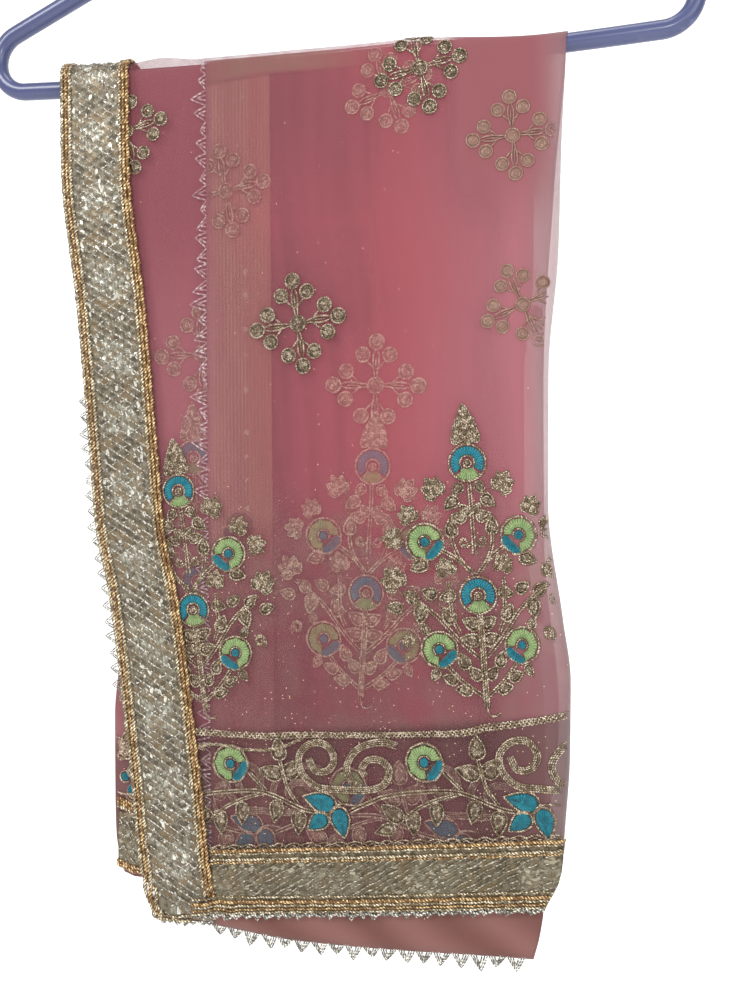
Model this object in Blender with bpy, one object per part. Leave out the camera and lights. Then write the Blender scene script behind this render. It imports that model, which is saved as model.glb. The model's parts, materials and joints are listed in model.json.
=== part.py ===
# A dupatta stole hung over the bar of a tube hanger.
# The cloth is folded in half end to end, then in thirds across its width, so each drop is a stack of plies.
# The origin is the hook's inner top, where a rail carries it. X runs to the right, Z up, and the front is
# at -Y.
import math

import bmesh
import bpy
import numpy as np

# Driving dimensions, in metres.
BAR_RADIUS = 0.005
BAR_DROP = 0.195            # from the hook's inner top down to the bar's ends
BAR_SAG = 0.0045            # how far the bar's middle hangs below its ends
HANGER_HALF_WIDTH = 0.2054  # to the tube's centre line at each end
END_RADIUS = 0.0185         # of the rounded ends, at the centre line
SHOULDER_SLOPE = math.radians(24.0)
PEAK_RADIUS = 0.012
TUBE_SIDES = 12
SHARP_ANGLE = math.radians(40.0)
HOOK_TUBE_RADIUS = 0.0042
HOOK_INNER_RADIUS = 0.019
HOOK_NECK_RADIUS = 0.010
HOOK_END_ANGLE = math.radians(195.0)

SEAM = 0.0003               # gap between pieces that lie edge to edge or on each other
PLY_GAP = 0.0005            # gap between one ply and the next
CLOTH = 0.0010              # thickness of a single ply
LACE = 0.0009
SECOND_FOLD = 0.0015        # a pair of plies
THIRD_FOLD = 0.0011
BACK_STACK = 0.0046         # the plies shut inside the back drop
STACK = 0.0060              # how much the full stack lifts the outer ply off the bar
DROP_CLOSING = 0.0020       # how much nearer the two drops hang at the bottom

CORD_WIDTH = 0.0070         # the pair of gold cords along each edge of the lace
SIDE_LACE_WIDTH = 0.0440    # over both pairs of cords
END_CORD_WIDTH = 0.0045
END_LACE_WIDTH = 0.0280
SECOND_LACE_WIDTH = 0.0430  # of the end lace that shows on the second third
INNER_LACE_WIDTH = 0.0390   # what shows of the side lace on the reverse
PICOT_REACH = 0.0060
INNER_PICOT_REACH = 0.0070  # of the picots along the longer end
PICOT_TUCKED = 0.0015       # what shows of the picots down the side, where they lie tucked behind the edge
PICOTS_OUT = (0.46, 0.60)   # the stretch of the fall over which the side picots come out from behind it
PICOTS_BACK = (0.78, 0.84)  # the stretch over which they go back
HALF_FOLD_RADIUS = 0.0026   # of the soft fold at the foot of the back drop
HALF_FOLD_RETURN = 0.0030   # how far the fold's inner side comes up again

# Each sheet of cloth: the side of the bar it hangs on, and how far its inner face stands off the bar's
# centre where the stack is full. Edge rows are (fall, x), where fall is -1 at the top of the crown, 0 level
# with the bar's centre and 1 at the bottom edge. Bottom rows are (share of the way across, z).
SHEETS = {
    "front": {
        "side": -1,
        "stand_off": BAR_RADIUS + SEAM + STACK,
        "left": [(-1.0, -0.1590), (0.0, -0.1568), (0.11, -0.1560), (0.27, -0.1463), (0.46, -0.1379),
                 (0.54, -0.1345), (0.62, -0.1262), (0.83, -0.1128), (1.0, -0.1030)],
        "right": [(-1.0, 0.1385), (0.0, 0.1377), (0.13, 0.1346), (0.25, 0.1331), (0.39, 0.1280),
                  (0.54, 0.1277), (0.68, 0.1356), (0.75, 0.1396), (0.84, 0.1392), (0.91, 0.1371),
                  (0.975, 0.1344), (1.0, 0.1300)],
        "bottom": [(0.0, -0.6850), (0.04, -0.6885), (0.16, -0.6880), (0.22, -0.6750),
                   (1.0, -0.6565)],
    },
    "inner": {
        "side": -1,
        "stand_off": BAR_RADIUS + SEAM + STACK - CLOTH - PLY_GAP,
        "left": [(-1.0, -0.0670), (0.0, -0.0665), (1.0, -0.0560)],
        "right": [(-1.0, 0.1030), (0.0, 0.1030), (0.13, 0.1205), (0.25, 0.1205), (0.37, 0.1155),
                  (0.5, 0.1155), (0.66, 0.1230), (0.75, 0.1265), (0.94, 0.1260), (0.975, 0.1237),
                  (1.0, 0.1204)],
        "bottom": [(0.0, -0.6900), (0.3, -0.6945), (1.0, -0.6920)],
    },
    "second": {
        "side": -1,
        "stand_off": BAR_RADIUS + SEAM + THIRD_FOLD + PLY_GAP,
        "left": [(-1.0, -0.1470), (0.0, -0.1460), (0.35, -0.1320), (0.6, -0.1210), (0.72, -0.1215),
                 (0.8, -0.1250), (0.9, -0.1248), (0.955, -0.1240), (1.0, -0.1190)],
        "right": [(-1.0, 0.0710), (0.0, 0.0720), (0.15, 0.1150), (0.37, 0.1110), (0.55, 0.1120),
                  (1.0, 0.1160)],
        "bottom": [(0.0, -0.6640), (0.03, -0.6665), (1.0, -0.6680)],
    },
    "third": {
        "side": -1,
        "stand_off": BAR_RADIUS + SEAM,
        "left": [(-1.0, -0.1420), (0.0, -0.1410), (0.6, -0.1160), (1.0, -0.1120)],
        "right": [(-1.0, 0.0420), (0.0, 0.0430), (0.15, 0.1050), (1.0, 0.1060)],
        "bottom": [(0.0, -0.6500), (1.0, -0.6550)],
    },
    "back": {
        "side": 1,
        "stand_off": BAR_RADIUS + SEAM + STACK,
        "left": [(-1.0, -0.1590), (0.0, -0.1568), (0.5, -0.1310), (1.0, -0.1110)],
        "right": [(-1.0, 0.1385), (0.0, 0.1370), (0.15, 0.1310), (0.4, 0.1245), (0.6, 0.1250),
                  (0.8, 0.1330), (1.0, 0.1220)],
        "bottom": [(0.0, -0.6440), (0.3, -0.6500), (1.0, -0.6540)],
    },
    "back_folds": {
        "side": 1,
        "stand_off": BAR_RADIUS + SEAM,
        "left": [(-1.0, -0.1450), (0.0, -0.1440), (0.5, -0.1230), (1.0, -0.1040)],
        "right": [(-1.0, 0.0560), (0.0, 0.0580), (0.15, 0.1120), (0.3, 0.1140), (1.0, 0.1120)],
        "bottom": [(0.0, -0.6360), (1.0, -0.6440)],
    },
}

CROWN_ANGLES = (0.0, 22.0, 44.0, 67.0)  # degrees down from the top of the crown
NORMAL_STEP = 0.0005        # the step over which a sheet's slope is taken, in metres across and in fall down
DROP_ROWS = (0.0, 0.03, 0.07, 0.12, 0.18, 0.25, 0.34, 0.44, 0.54, 0.64, 0.74, 0.83, 0.90)
END_ROWS = (0.942, 1.0)     # the last rows of a sheet, from the top of its end lace to its bottom edge
FILLING = (0.045, 0.130)    # along X, the crown thins from a full stack to a single ply
FILLING_FALL = 0.160        # below this much fall the stack is full right across
CLOSING_FALL = 0.450        # over this much fall the two drops draw together
TURN_WIDTH = 0.0080         # how far in from its edge the outer ply starts to turn over the right-hand fold
TURN_DEPTH = 0.0050
TURN_ROUNDNESS = 0.98       # 1 would turn the very edge square to the ply
TURN_START = (0.02, 0.08)   # the turn grows over this much fall
TURN_END = (0.94, 1.04)     # and eases off again over this share of the drop

# Distances in from the left and right edges at which a ply has columns of points.
OUTER_FROM_LEFT = (
    0.0, CORD_WIDTH, SIDE_LACE_WIDTH - CORD_WIDTH, SIDE_LACE_WIDTH, SIDE_LACE_WIDTH + CORD_WIDTH,
)
OUTER_FROM_RIGHT = (0.098, 0.084, 0.070, 0.057, 0.045, 0.033, 0.020, TURN_WIDTH, 0.003, 0.0)
INNER_FROM_RIGHT = (0.070, 0.058, 0.046, 0.034, 0.022, 0.010, 0.0)
STACK_FROM_LEFT = (0.0, 0.0015, 0.0050)
STACK_FROM_RIGHT = (0.0420, 0.0300, 0.0180, 0.0050, 0.0015, 0.0)
STACK_END_ROWS = (0.985, 0.995, 1.0)
STACK_ROUNDING = (0.45, 0.85)   # share of a folded stack's thickness at its edge and one column in
SECOND_LACE_FROM_LEFT = (0.0050, 0.0200, 0.0350, 0.0500)
SECOND_LACE_END = 0.985

# Soft vertical folds that stand out of the outer plies: centre at the top and bottom, half width, height,
# and where along the fall each starts and ends.
FRONT_RIDGES = [
    {"top": 0.015, "bottom": 0.045, "width": 0.050, "height": 0.0022, "from": 0.10, "to": 0.80},
    {"top": 0.085, "bottom": 0.090, "width": 0.045, "height": 0.0028, "from": 0.22, "to": 0.98},
    {"top": -0.070, "bottom": -0.030, "width": 0.055, "height": 0.0016, "from": 0.15, "to": 0.90},
    {"top": 0.118, "bottom": 0.115, "width": 0.030, "height": 0.0018, "from": 0.05, "to": 0.50},
]
BACK_RIDGES = [
    {"top": -0.050, "bottom": -0.020, "width": 0.055, "height": 0.0024, "from": 0.12, "to": 0.85},
    {"top": 0.040, "bottom": 0.055, "width": 0.050, "height": 0.0020, "from": 0.30, "to": 0.95},
    {"top": 0.095, "bottom": 0.080, "width": 0.045, "height": 0.0028, "from": 0.08, "to": 0.70},
]

RIDGE_FADE = 0.15           # share of the fall over which a ridge dies away at each end

# The gentle waves that every ply of a drop shares: height, length across, length down, and how far each is
# shifted at the front and the back, in radians.
RIPPLES = [
    {"height": 0.0004, "across": 0.150, "down": math.inf, "shift": (0.0, 1.7)},
    {"height": 0.0003, "across": 0.240, "down": -0.550, "shift": (0.0, 3.4)},
]
RIPPLE_FALL = 0.120         # below this much fall they have their full height

COLOURS = {
    "net": ((0.60, 0.16, 0.19), 0.75, 0.0),
    "net_inside": ((0.50, 0.12, 0.15), 0.80, 0.0),
    "gota_lace": ((0.42, 0.34, 0.22), 0.40, 0.7),
    "gold_cord": ((0.48, 0.27, 0.10), 0.45, 0.6),
    "picot": ((0.50, 0.46, 0.36), 0.45, 0.5),
    "hanger_plastic": ((0.12, 0.13, 0.34), 0.35, 0.0),
}


def clear_scene():
    for item in list(bpy.data.objects):
        bpy.data.objects.remove(item, do_unlink=True)


def material(name):
    found = bpy.data.materials.get(name)
    if found:
        return found
    colour, roughness, metallic = COLOURS[name]
    made = bpy.data.materials.new(name)
    made.use_nodes = True
    shader = made.node_tree.nodes["Principled BSDF"]
    shader.inputs["Base Color"].default_value = (*colour, 1.0)
    shader.inputs["Roughness"].default_value = roughness
    shader.inputs["Metallic"].default_value = metallic
    made.diffuse_color = (*colour, 1.0)
    return made


def smooth(value):
    held = np.clip(value, 0.0, 1.0)
    return held * held * (3.0 - 2.0 * held)


def edge_at(rows, fall):
    """A smooth curve through an edge's rows, with no bulge between them, and straight on past its ends."""
    stations = np.array([row[0] for row in rows])
    places = np.array([row[1] for row in rows])
    pitch = np.diff(places) / np.diff(stations)
    before = np.append(pitch[0], pitch)
    after = np.append(pitch, pitch[-1])
    level = before * after <= 0.0
    slopes = np.where(level, 0.0, 2.0 * before * after / np.where(level, 1.0, before + after))
    span = np.clip(np.searchsorted(stations, fall) - 1, 0, len(rows) - 2)
    length = stations[span + 1] - stations[span]
    part = (fall - stations[span]) / length
    held = np.clip(part, 0.0, 1.0)
    rest = 1.0 - held
    curve = places[span] + (places[span + 1] - places[span]) * smooth(held)
    curve = curve + length * held * rest * (slopes[span] * rest - slopes[span + 1] * held)
    past = (part - held) * length
    return curve + past * np.where(part > 1.0, slopes[span + 1], slopes[span])


def bar_height(x):
    across = np.clip(np.abs(x) / (HANGER_HALF_WIDTH - END_RADIUS), 0.0, 1.0)
    return -BAR_DROP - BAR_SAG * (1.0 - across**2)


def filling(x, fallen):
    """How full the stack is at x: 1 for all its plies, falling to 0 at the crown's right-hand end."""
    start, end = FILLING
    thin = smooth((x - start) / (end - start))
    return 1.0 - thin * (1.0 - smooth(fallen / FILLING_FALL))


def ridges(name, x, fall, fallen):
    """Height of the folds standing out of an outer ply: rounded ridges that fade at both ends."""
    out = np.zeros_like(x)
    for fold in FRONT_RIDGES if name == "front" else BACK_RIDGES:
        centre = fold["top"] + (fold["bottom"] - fold["top"]) * fall
        hump = smooth(1.0 - np.abs(x - centre) / fold["width"])
        fade = smooth((fall - fold["from"]) / RIDGE_FADE) * smooth((fold["to"] - fall) / RIDGE_FADE)
        out = out + fold["height"] * hump * fade
    return out * smooth(fallen / FILLING_FALL)


def ripple(side, x, fallen):
    out = np.zeros_like(x)
    for wave in RIPPLES:
        shift = wave["shift"][0 if side < 0 else 1]
        turns = x / wave["across"] + fallen / wave["down"]
        out = out + wave["height"] * np.sin(2.0 * math.pi * turns + shift)
    return out * smooth(fallen / RIPPLE_FALL)


def edge_turn(x, right, fall, fallen):
    """How far an outer ply drops back as it turns over the right-hand fold: a quarter of an ellipse."""
    inward = np.clip((x - right + TURN_WIDTH) / TURN_WIDTH, 0.0, 1.0)
    turn = TURN_DEPTH * (1.0 - np.sqrt(1.0 - inward**2 * TURN_ROUNDNESS))
    grown = smooth((fallen - TURN_START[0]) / (TURN_START[1] - TURN_START[0]))
    return turn * grown * smooth((TURN_END[1] - fall) / (TURN_END[1] - TURN_END[0]))


def on_sheet(name, x, fall):
    """Points of a sheet's inner face: round the crown where fall is under 0, down the drop from 0 to 1."""
    sheet = SHEETS[name]
    side = sheet["side"]
    left = edge_at(sheet["left"], fall)
    right = edge_at(sheet["right"], fall)
    bar = bar_height(x)
    bottom = edge_at(sheet["bottom"], (x - left) / (right - left))
    fallen = np.maximum(fall, 0.0) * (bar - bottom)
    stand_off = sheet["stand_off"] - STACK * (1.0 - filling(x, fallen))
    angle = np.minimum(fall, 0.0) * math.pi / 2.0
    out = stand_off - DROP_CLOSING * smooth(fallen / CLOSING_FALL)
    out = out + ripple(side, x, fallen)
    if name in ("front", "back"):
        out = out + ridges(name, x, fall, fallen) - edge_turn(x, right, fall, fallen)
    y = side * np.where(fall < 0.0, stand_off * np.cos(angle), out)
    z = np.where(fall < 0.0, bar - stand_off * np.sin(angle), bar - fallen)
    return np.stack([x, y, z], axis=-1)


def outward(name, x, fall):
    """Unit normals of a sheet, pointing away from the bar."""
    step = NORMAL_STEP
    across = on_sheet(name, x + step, fall) - on_sheet(name, x - step, fall)
    down = on_sheet(name, x, fall + step) - on_sheet(name, x, fall - step)
    normal = np.cross(across, down) * SHEETS[name]["side"]
    return normal / np.linalg.norm(normal, axis=-1, keepdims=True)


def seam_fall(name):
    """The fall at which a drop starts, half a seam clear of the top of the crown."""
    stand_off = SHEETS[name]["stand_off"] - STACK
    return -1.0 + SEAM / 2.0 / max(stand_off, BAR_RADIUS) * 2.0 / math.pi


def rows_of(name, last=(1.0,)):
    crown = [angle / 90.0 - 1.0 for angle in CROWN_ANGLES]
    crown[0] = seam_fall(name)
    return np.array([*crown, *DROP_ROWS, *last])


def closed_mesh(name, inner, outer, finish):
    """A closed solid between two grids of points that have the same rows and columns."""
    rows, columns = inner.shape[:2]
    count = rows * columns
    points = np.concatenate([inner.reshape(-1, 3), outer.reshape(-1, 3)])
    index = np.arange(count).reshape(rows, columns)
    face = np.stack([index[:-1, :-1], index[:-1, 1:], index[1:, 1:], index[1:, :-1]], axis=-1).reshape(-1, 4)
    around = np.concatenate([index[0, :], index[1:, -1], index[-1, -2::-1], index[-2:0:-1, 0]])
    after = np.roll(around, -1)
    rim = np.stack([around, around + count, after + count, after], axis=-1)
    faces = np.concatenate([face, face[:, ::-1] + count, rim])
    mesh = bpy.data.meshes.new(name)
    mesh.from_pydata(points.tolist(), [], faces.tolist())
    middle = (inner - outer).reshape(-1, 3)
    corner = points[faces[0]]
    facing = np.dot(np.cross(corner[1] - corner[0], corner[3] - corner[0]), middle[0])
    if facing < 0.0:
        mesh.flip_normals()
    mesh.materials.append(material(finish))
    mesh.shade_smooth()
    mesh.set_sharp_from_angle(angle=SHARP_ANGLE)
    made = bpy.data.objects.new(name, mesh)
    bpy.context.scene.collection.objects.link(made)
    return made


def columns_of(sheet, rows, from_left, middle, from_right):
    """Columns at set distances from the left and right edges, with evenly spread ones between them."""
    left = edge_at(SHEETS[sheet]["left"], rows)
    right = edge_at(SHEETS[sheet]["right"], rows)
    first = [left + offset for offset in from_left]
    last = [right - offset for offset in from_right]
    shares = [step / (middle + 1.0) for step in range(1, middle + 1)]
    between = [first[-1] + (last[0] - first[-1]) * share for share in shares]
    return np.stack(first + between + last, axis=1)


def wall(name, sheet, x, rows, lift, thickness, finish):
    """A wall over a sheet's points: its inner face is lift off the sheet, its outer face thickness more."""
    fall = np.repeat(rows[:, None], x.shape[1], axis=1)
    base = on_sheet(sheet, x, fall)
    normal = outward(sheet, x, fall)
    lift = np.broadcast_to(lift, x.shape)[..., None]
    thickness = np.broadcast_to(thickness, x.shape)[..., None]
    return closed_mesh(name, base + normal * lift, base + normal * (lift + thickness), finish)


def rounded_stack(name, sheet, thickness):
    """Plies shut inside the stack, as one solid that is rounded towards its left, right and bottom edges."""
    rows = rows_of(sheet, STACK_END_ROWS)
    x = columns_of(sheet, rows, STACK_FROM_LEFT, 5, STACK_FROM_RIGHT)
    share = np.ones(x.shape)
    for depth, value in enumerate(STACK_ROUNDING):
        share[:, depth] = np.minimum(share[:, depth], value)
        share[:, -1 - depth] = np.minimum(share[:, -1 - depth], value)
        share[-1 - depth, :] = np.minimum(share[-1 - depth, :], value)
    return wall(name, sheet, x, rows, (1.0 - share) * thickness / 2.0, share * thickness, "net_inside")


def outer_ply(name, sheet):
    rows = rows_of(sheet, END_ROWS)
    x = columns_of(sheet, rows, OUTER_FROM_LEFT, 3, OUTER_FROM_RIGHT)
    wall(name, sheet, x, rows, 0.0, CLOTH, "net")
    return rows, x


def side_trim(prefix, sheet, rows):
    """Lace between two pairs of gold cords down the left edge, and picots standing out past it."""
    strips = [
        ("side_cord_outer", 0.0, CORD_WIDTH, "gold_cord"),
        ("side_lace", CORD_WIDTH, SIDE_LACE_WIDTH - CORD_WIDTH, "gota_lace"),
        ("side_cord_inner", SIDE_LACE_WIDTH - CORD_WIDTH, SIDE_LACE_WIDTH, "gold_cord"),
    ]
    lift = CLOTH + SEAM
    for label, start, end, finish in strips:
        x = columns_of(sheet, rows, (start + SEAM / 2.0, end - SEAM / 2.0), 0, ())
        wall(f"{prefix}_{label}", sheet, x, rows, lift, LACE, finish)
    x = columns_of(sheet, rows, (-PICOT_REACH, -SEAM), 0, ())
    coming = smooth((rows - PICOTS_OUT[0]) / (PICOTS_OUT[1] - PICOTS_OUT[0]))
    going = smooth((rows - PICOTS_BACK[0]) / (PICOTS_BACK[1] - PICOTS_BACK[0]))
    x[:, 0] += (1.0 - coming + going) * (PICOT_REACH - PICOT_TUCKED)
    wall(f"{prefix}_side_picot", sheet, x, rows, 0.0, CLOTH, "picot")


def front_end_trim(rows, panel):
    """Lace, two gold cords and picots across the end of the cloth, from the side lace to the fold."""
    x = panel[-len(END_ROWS):, OUTER_FROM_LEFT.index(SIDE_LACE_WIDTH):].copy()
    x[:, 0] = x[:, 0] + SEAM / 2.0
    lift = CLOTH + SEAM
    drop = bar_height(0.0) - SHEETS["front"]["bottom"][-1][1]
    bands = [
        ("end_cord_upper", END_LACE_WIDTH, END_LACE_WIDTH - END_CORD_WIDTH, "gold_cord"),
        ("end_lace", END_LACE_WIDTH - END_CORD_WIDTH, END_CORD_WIDTH, "gota_lace"),
        ("end_cord_lower", END_CORD_WIDTH, 0.0, "gold_cord"),
    ]
    for label, top, bottom, finish in bands:
        falls = np.array([1.0 - (top - SEAM / 2.0) / drop, 1.0 - (bottom + SEAM / 2.0) / drop])
        across = at_falls(x, rows[-len(END_ROWS):], falls)
        wall(f"front_{label}", "front", across, falls, lift, LACE, finish)
    falls = np.array([1.0 + SEAM / drop, 1.0 + PICOT_REACH / drop])
    wall("front_end_picot", "front", np.stack([x[-1], x[-1]]), falls, 0.0, CLOTH, "picot")


def at_falls(x, rows, falls):
    """A panel's columns at other falls, read straight between its rows."""
    return np.stack([np.interp(falls, rows, column) for column in x.T], axis=1)


def inner_cloth():
    """The second end of the cloth: its reverse faces the front, so its lace is on its far side."""
    rows = rows_of("inner", END_ROWS)
    x = columns_of("inner", rows, (0.0, INNER_LACE_WIDTH), 1, INNER_FROM_RIGHT)
    wall("inner_panel", "inner", x, rows, 0.0, CLOTH, "net_inside")
    lift = -SEAM - LACE
    strip = columns_of("inner", rows, (0.0, INNER_LACE_WIDTH - SEAM / 2.0), 0, ())
    wall("inner_side_lace", "inner", strip, rows, lift, LACE, "gota_lace")
    drop = bar_height(0.0) - SHEETS["inner"]["bottom"][-1][1]
    falls = np.array([1.0 - END_LACE_WIDTH / drop, 1.0])
    band = at_falls(x[-len(END_ROWS):, 1:], rows[-len(END_ROWS):], falls)
    band[:, 0] = band[:, 0] + SEAM / 2.0
    wall("inner_end_lace", "inner", band, falls, lift, LACE, "gota_lace")
    strip = columns_of("inner", rows, (-PICOT_REACH, -SEAM), 0, ())
    wall("inner_side_picot", "inner", strip, rows, 0.0, CLOTH, "picot")
    falls = np.array([1.0 + SEAM / drop, 1.0 + INNER_PICOT_REACH / drop])
    wall("inner_end_picot", "inner", np.stack([x[-1], x[-1]]), falls, 0.0, CLOTH, "picot")


def second_fold_lace():
    """The end lace of the second third, as far as it shows where the fold peeps out at the left."""
    drop = bar_height(0.0) - SHEETS["second"]["bottom"][-1][1]
    rows = np.array([1.0 - SECOND_LACE_WIDTH / drop, SECOND_LACE_END])
    x = columns_of("second", rows, SECOND_LACE_FROM_LEFT, 0, ())
    wall("second_end_lace", "second", x, rows, SECOND_FOLD + SEAM, LACE, "gota_lace")


def half_fold(x):
    """The soft fold at the foot of the back drop, where the outer ply turns under and comes up inside."""
    base = on_sheet("back", x, np.ones_like(x))
    turns = np.radians([0.0, 45.0, 90.0, 135.0, 180.0])
    rings = []
    for thickness in (0.0, CLOTH):
        radius = HALF_FOLD_RADIUS + thickness
        rows = []
        for turn in turns:
            out = -HALF_FOLD_RADIUS + radius * math.cos(turn)
            rows.append(base + np.array([0.0, out, -SEAM - radius * math.sin(turn)]))
        rows.append(rows[-1] + np.array([0.0, 0.0, HALF_FOLD_RETURN]))
        rings.append(np.stack(rows))
    closed_mesh("back_half_fold", rings[0], rings[1], "net")


def arc(centre, radius, start, end, steps):
    angles = np.linspace(start, end, steps)
    return [(centre[0] + radius * math.cos(at), centre[1] + radius * math.sin(at)) for at in angles]


def tube(name, path, radii, closed):
    """A round tube through points in the XZ plane, each with its radius; an open one has flat caps."""
    path = np.array(path)
    count = len(path)
    if closed:
        along = np.roll(path, -1, axis=0) - np.roll(path, 1, axis=0)
    else:
        along = np.gradient(path, axis=0)
    along = along / np.linalg.norm(along, axis=1, keepdims=True)
    turns = np.arange(TUBE_SIDES) * 2.0 * math.pi / TUBE_SIDES
    ring = np.stack([np.cos(turns), np.sin(turns)], axis=1)
    aside = np.stack([-along[:, 1], np.zeros(count), along[:, 0]], axis=1)
    middle = np.stack([path[:, 0], np.zeros(count), path[:, 1]], axis=1)
    points = middle[:, None, :] + radii[:, None, None] * (
        aside[:, None, :] * ring[None, :, :1] + np.array([0.0, 1.0, 0.0]) * ring[None, :, 1:]
    )
    faces = []
    for at in range(count if closed else count - 1):
        first = at * TUBE_SIDES
        second = (at + 1) % count * TUBE_SIDES
        for side in range(TUBE_SIDES):
            after = (side + 1) % TUBE_SIDES
            faces.append((first + side, first + after, second + after, second + side))
    if not closed:
        faces.append(tuple(range(TUBE_SIDES))[::-1])
        faces.append(tuple(range((count - 1) * TUBE_SIDES, count * TUBE_SIDES)))
    mesh = bpy.data.meshes.new(name)
    mesh.from_pydata(points.reshape(-1, 3).tolist(), [], faces)
    shape = bmesh.new()
    shape.from_mesh(mesh)
    bmesh.ops.recalc_face_normals(shape, faces=shape.faces[:])
    shape.to_mesh(mesh)
    shape.free()
    mesh.materials.append(material("hanger_plastic"))
    mesh.shade_smooth()
    mesh.set_sharp_from_angle(angle=SHARP_ANGLE)
    made = bpy.data.objects.new(name, mesh)
    bpy.context.scene.collection.objects.link(made)


def hanger():
    """One round tube bent into the bar, the ends and the shoulders, with a hook standing on its peak."""
    end_x = HANGER_HALF_WIDTH - END_RADIUS
    end_z = -BAR_DROP + END_RADIUS
    lean = math.atan(2.0 * BAR_SAG / end_x)
    shoulder = math.radians(90.0) - SHOULDER_SLOPE
    peak_z = end_z + END_RADIUS / math.cos(SHOULDER_SLOPE) + end_x * math.tan(SHOULDER_SLOPE)
    peak_z = peak_z - PEAK_RADIUS / math.cos(SHOULDER_SLOPE)
    right = arc((end_x, end_z), END_RADIUS, lean - math.pi / 2.0, shoulder, 12)
    peak = arc((0.0, peak_z), PEAK_RADIUS, shoulder, math.pi - shoulder, 7)
    left = [(-x, z) for x, z in reversed(right)]
    bar = [(x, bar_height(x)) for x in np.linspace(left[-1][0], right[0][0], 14)[1:-1].tolist()]
    frame = right + peak + left + bar
    tube("hanger_frame", frame, np.full(len(frame), BAR_RADIUS), True)

    hook_radius = HOOK_INNER_RADIUS + HOOK_TUBE_RADIUS
    neck_reach = hook_radius + HOOK_NECK_RADIUS
    neck_z = -HOOK_INNER_RADIUS - math.sqrt(neck_reach**2 - HOOK_NECK_RADIUS**2)
    meet = math.acos(HOOK_NECK_RADIUS / neck_reach)
    foot = (0.0, peak_z + PEAK_RADIUS + BAR_RADIUS + SEAM)
    neck = arc((HOOK_NECK_RADIUS, neck_z), HOOK_NECK_RADIUS, math.pi, math.pi - meet, 6)
    hook = arc((0.0, -HOOK_INNER_RADIUS), hook_radius, -meet, HOOK_END_ANGLE, 25)
    tip_x, tip_z = hook[-1]
    along = (-math.sin(HOOK_END_ANGLE), math.cos(HOOK_END_ANGLE))
    steps = [HOOK_TUBE_RADIUS * share for share in (0.35, 0.65, 0.85, 0.95)]
    tip = [(tip_x + along[0] * step, tip_z + along[1] * step) for step in steps]
    path = [foot] + neck + hook[1:] + tip
    radii = np.full(len(path), HOOK_TUBE_RADIUS)
    radii[-len(tip):] = [math.sqrt(HOOK_TUBE_RADIUS**2 - step**2) for step in steps]
    tube("hanger_hook", path, radii, False)


def build():
    clear_scene()
    hanger()
    rows, front = outer_ply("front_panel", "front")
    side_trim("front", "front", rows)
    front_end_trim(rows, front)
    inner_cloth()
    rounded_stack("second_fold", "second", SECOND_FOLD)
    second_fold_lace()
    rounded_stack("third_fold", "third", THIRD_FOLD)
    rows, back = outer_ply("back_panel", "back")
    side_trim("back", "back", rows)
    rounded_stack("folded_layers_back", "back_folds", BACK_STACK)
    half_fold(back[-1])


build()
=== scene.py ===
# A sheer embroidered dupatta stole over a tube hanger: the finished looks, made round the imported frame.
import json
import math

import bpy
import numpy as np
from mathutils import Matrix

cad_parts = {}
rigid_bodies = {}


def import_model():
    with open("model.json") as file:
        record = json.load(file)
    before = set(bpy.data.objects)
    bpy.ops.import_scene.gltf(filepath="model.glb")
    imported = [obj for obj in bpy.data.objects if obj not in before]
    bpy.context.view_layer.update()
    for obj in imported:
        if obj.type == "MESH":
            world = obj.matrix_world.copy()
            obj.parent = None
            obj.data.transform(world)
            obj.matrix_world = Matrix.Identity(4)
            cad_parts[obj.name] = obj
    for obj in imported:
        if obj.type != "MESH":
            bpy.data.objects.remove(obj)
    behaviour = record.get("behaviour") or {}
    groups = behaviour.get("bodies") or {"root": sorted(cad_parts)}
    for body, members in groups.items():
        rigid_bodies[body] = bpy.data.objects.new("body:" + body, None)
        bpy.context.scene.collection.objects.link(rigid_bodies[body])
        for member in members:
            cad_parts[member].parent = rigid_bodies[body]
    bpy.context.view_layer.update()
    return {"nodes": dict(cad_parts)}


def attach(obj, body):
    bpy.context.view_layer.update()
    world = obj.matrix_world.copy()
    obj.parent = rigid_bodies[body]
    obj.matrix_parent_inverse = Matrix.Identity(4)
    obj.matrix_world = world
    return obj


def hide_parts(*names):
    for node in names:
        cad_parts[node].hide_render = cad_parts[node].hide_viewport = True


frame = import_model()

fullTurn = 2.0 * math.pi
mm = 0.001
print("frame loaded:", len(frame["nodes"]), "nodes")


# camera

view = {"distance": 0.565, "turn": 12.5, "aim": (0.0313, 0.0, -0.4448), "lens": 24.0, "sensorHeight": 24.0}


def makeCamera():
    data = bpy.data.cameras.new("camera")
    data.sensor_fit = "VERTICAL"
    data.sensor_height = view["sensorHeight"]
    data.lens = view["lens"]
    data.clip_start = 0.01
    camera = bpy.data.objects.new("camera", data)
    turn = math.radians(view["turn"])
    aim = view["aim"]
    camera.location = (aim[0] + view["distance"] * math.sin(turn), -view["distance"] * math.cos(turn), aim[2])
    camera.rotation_euler = (math.pi / 2.0, 0.0, turn)
    bpy.context.scene.collection.objects.link(camera)
    bpy.context.scene.camera = camera


# shader helper

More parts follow.
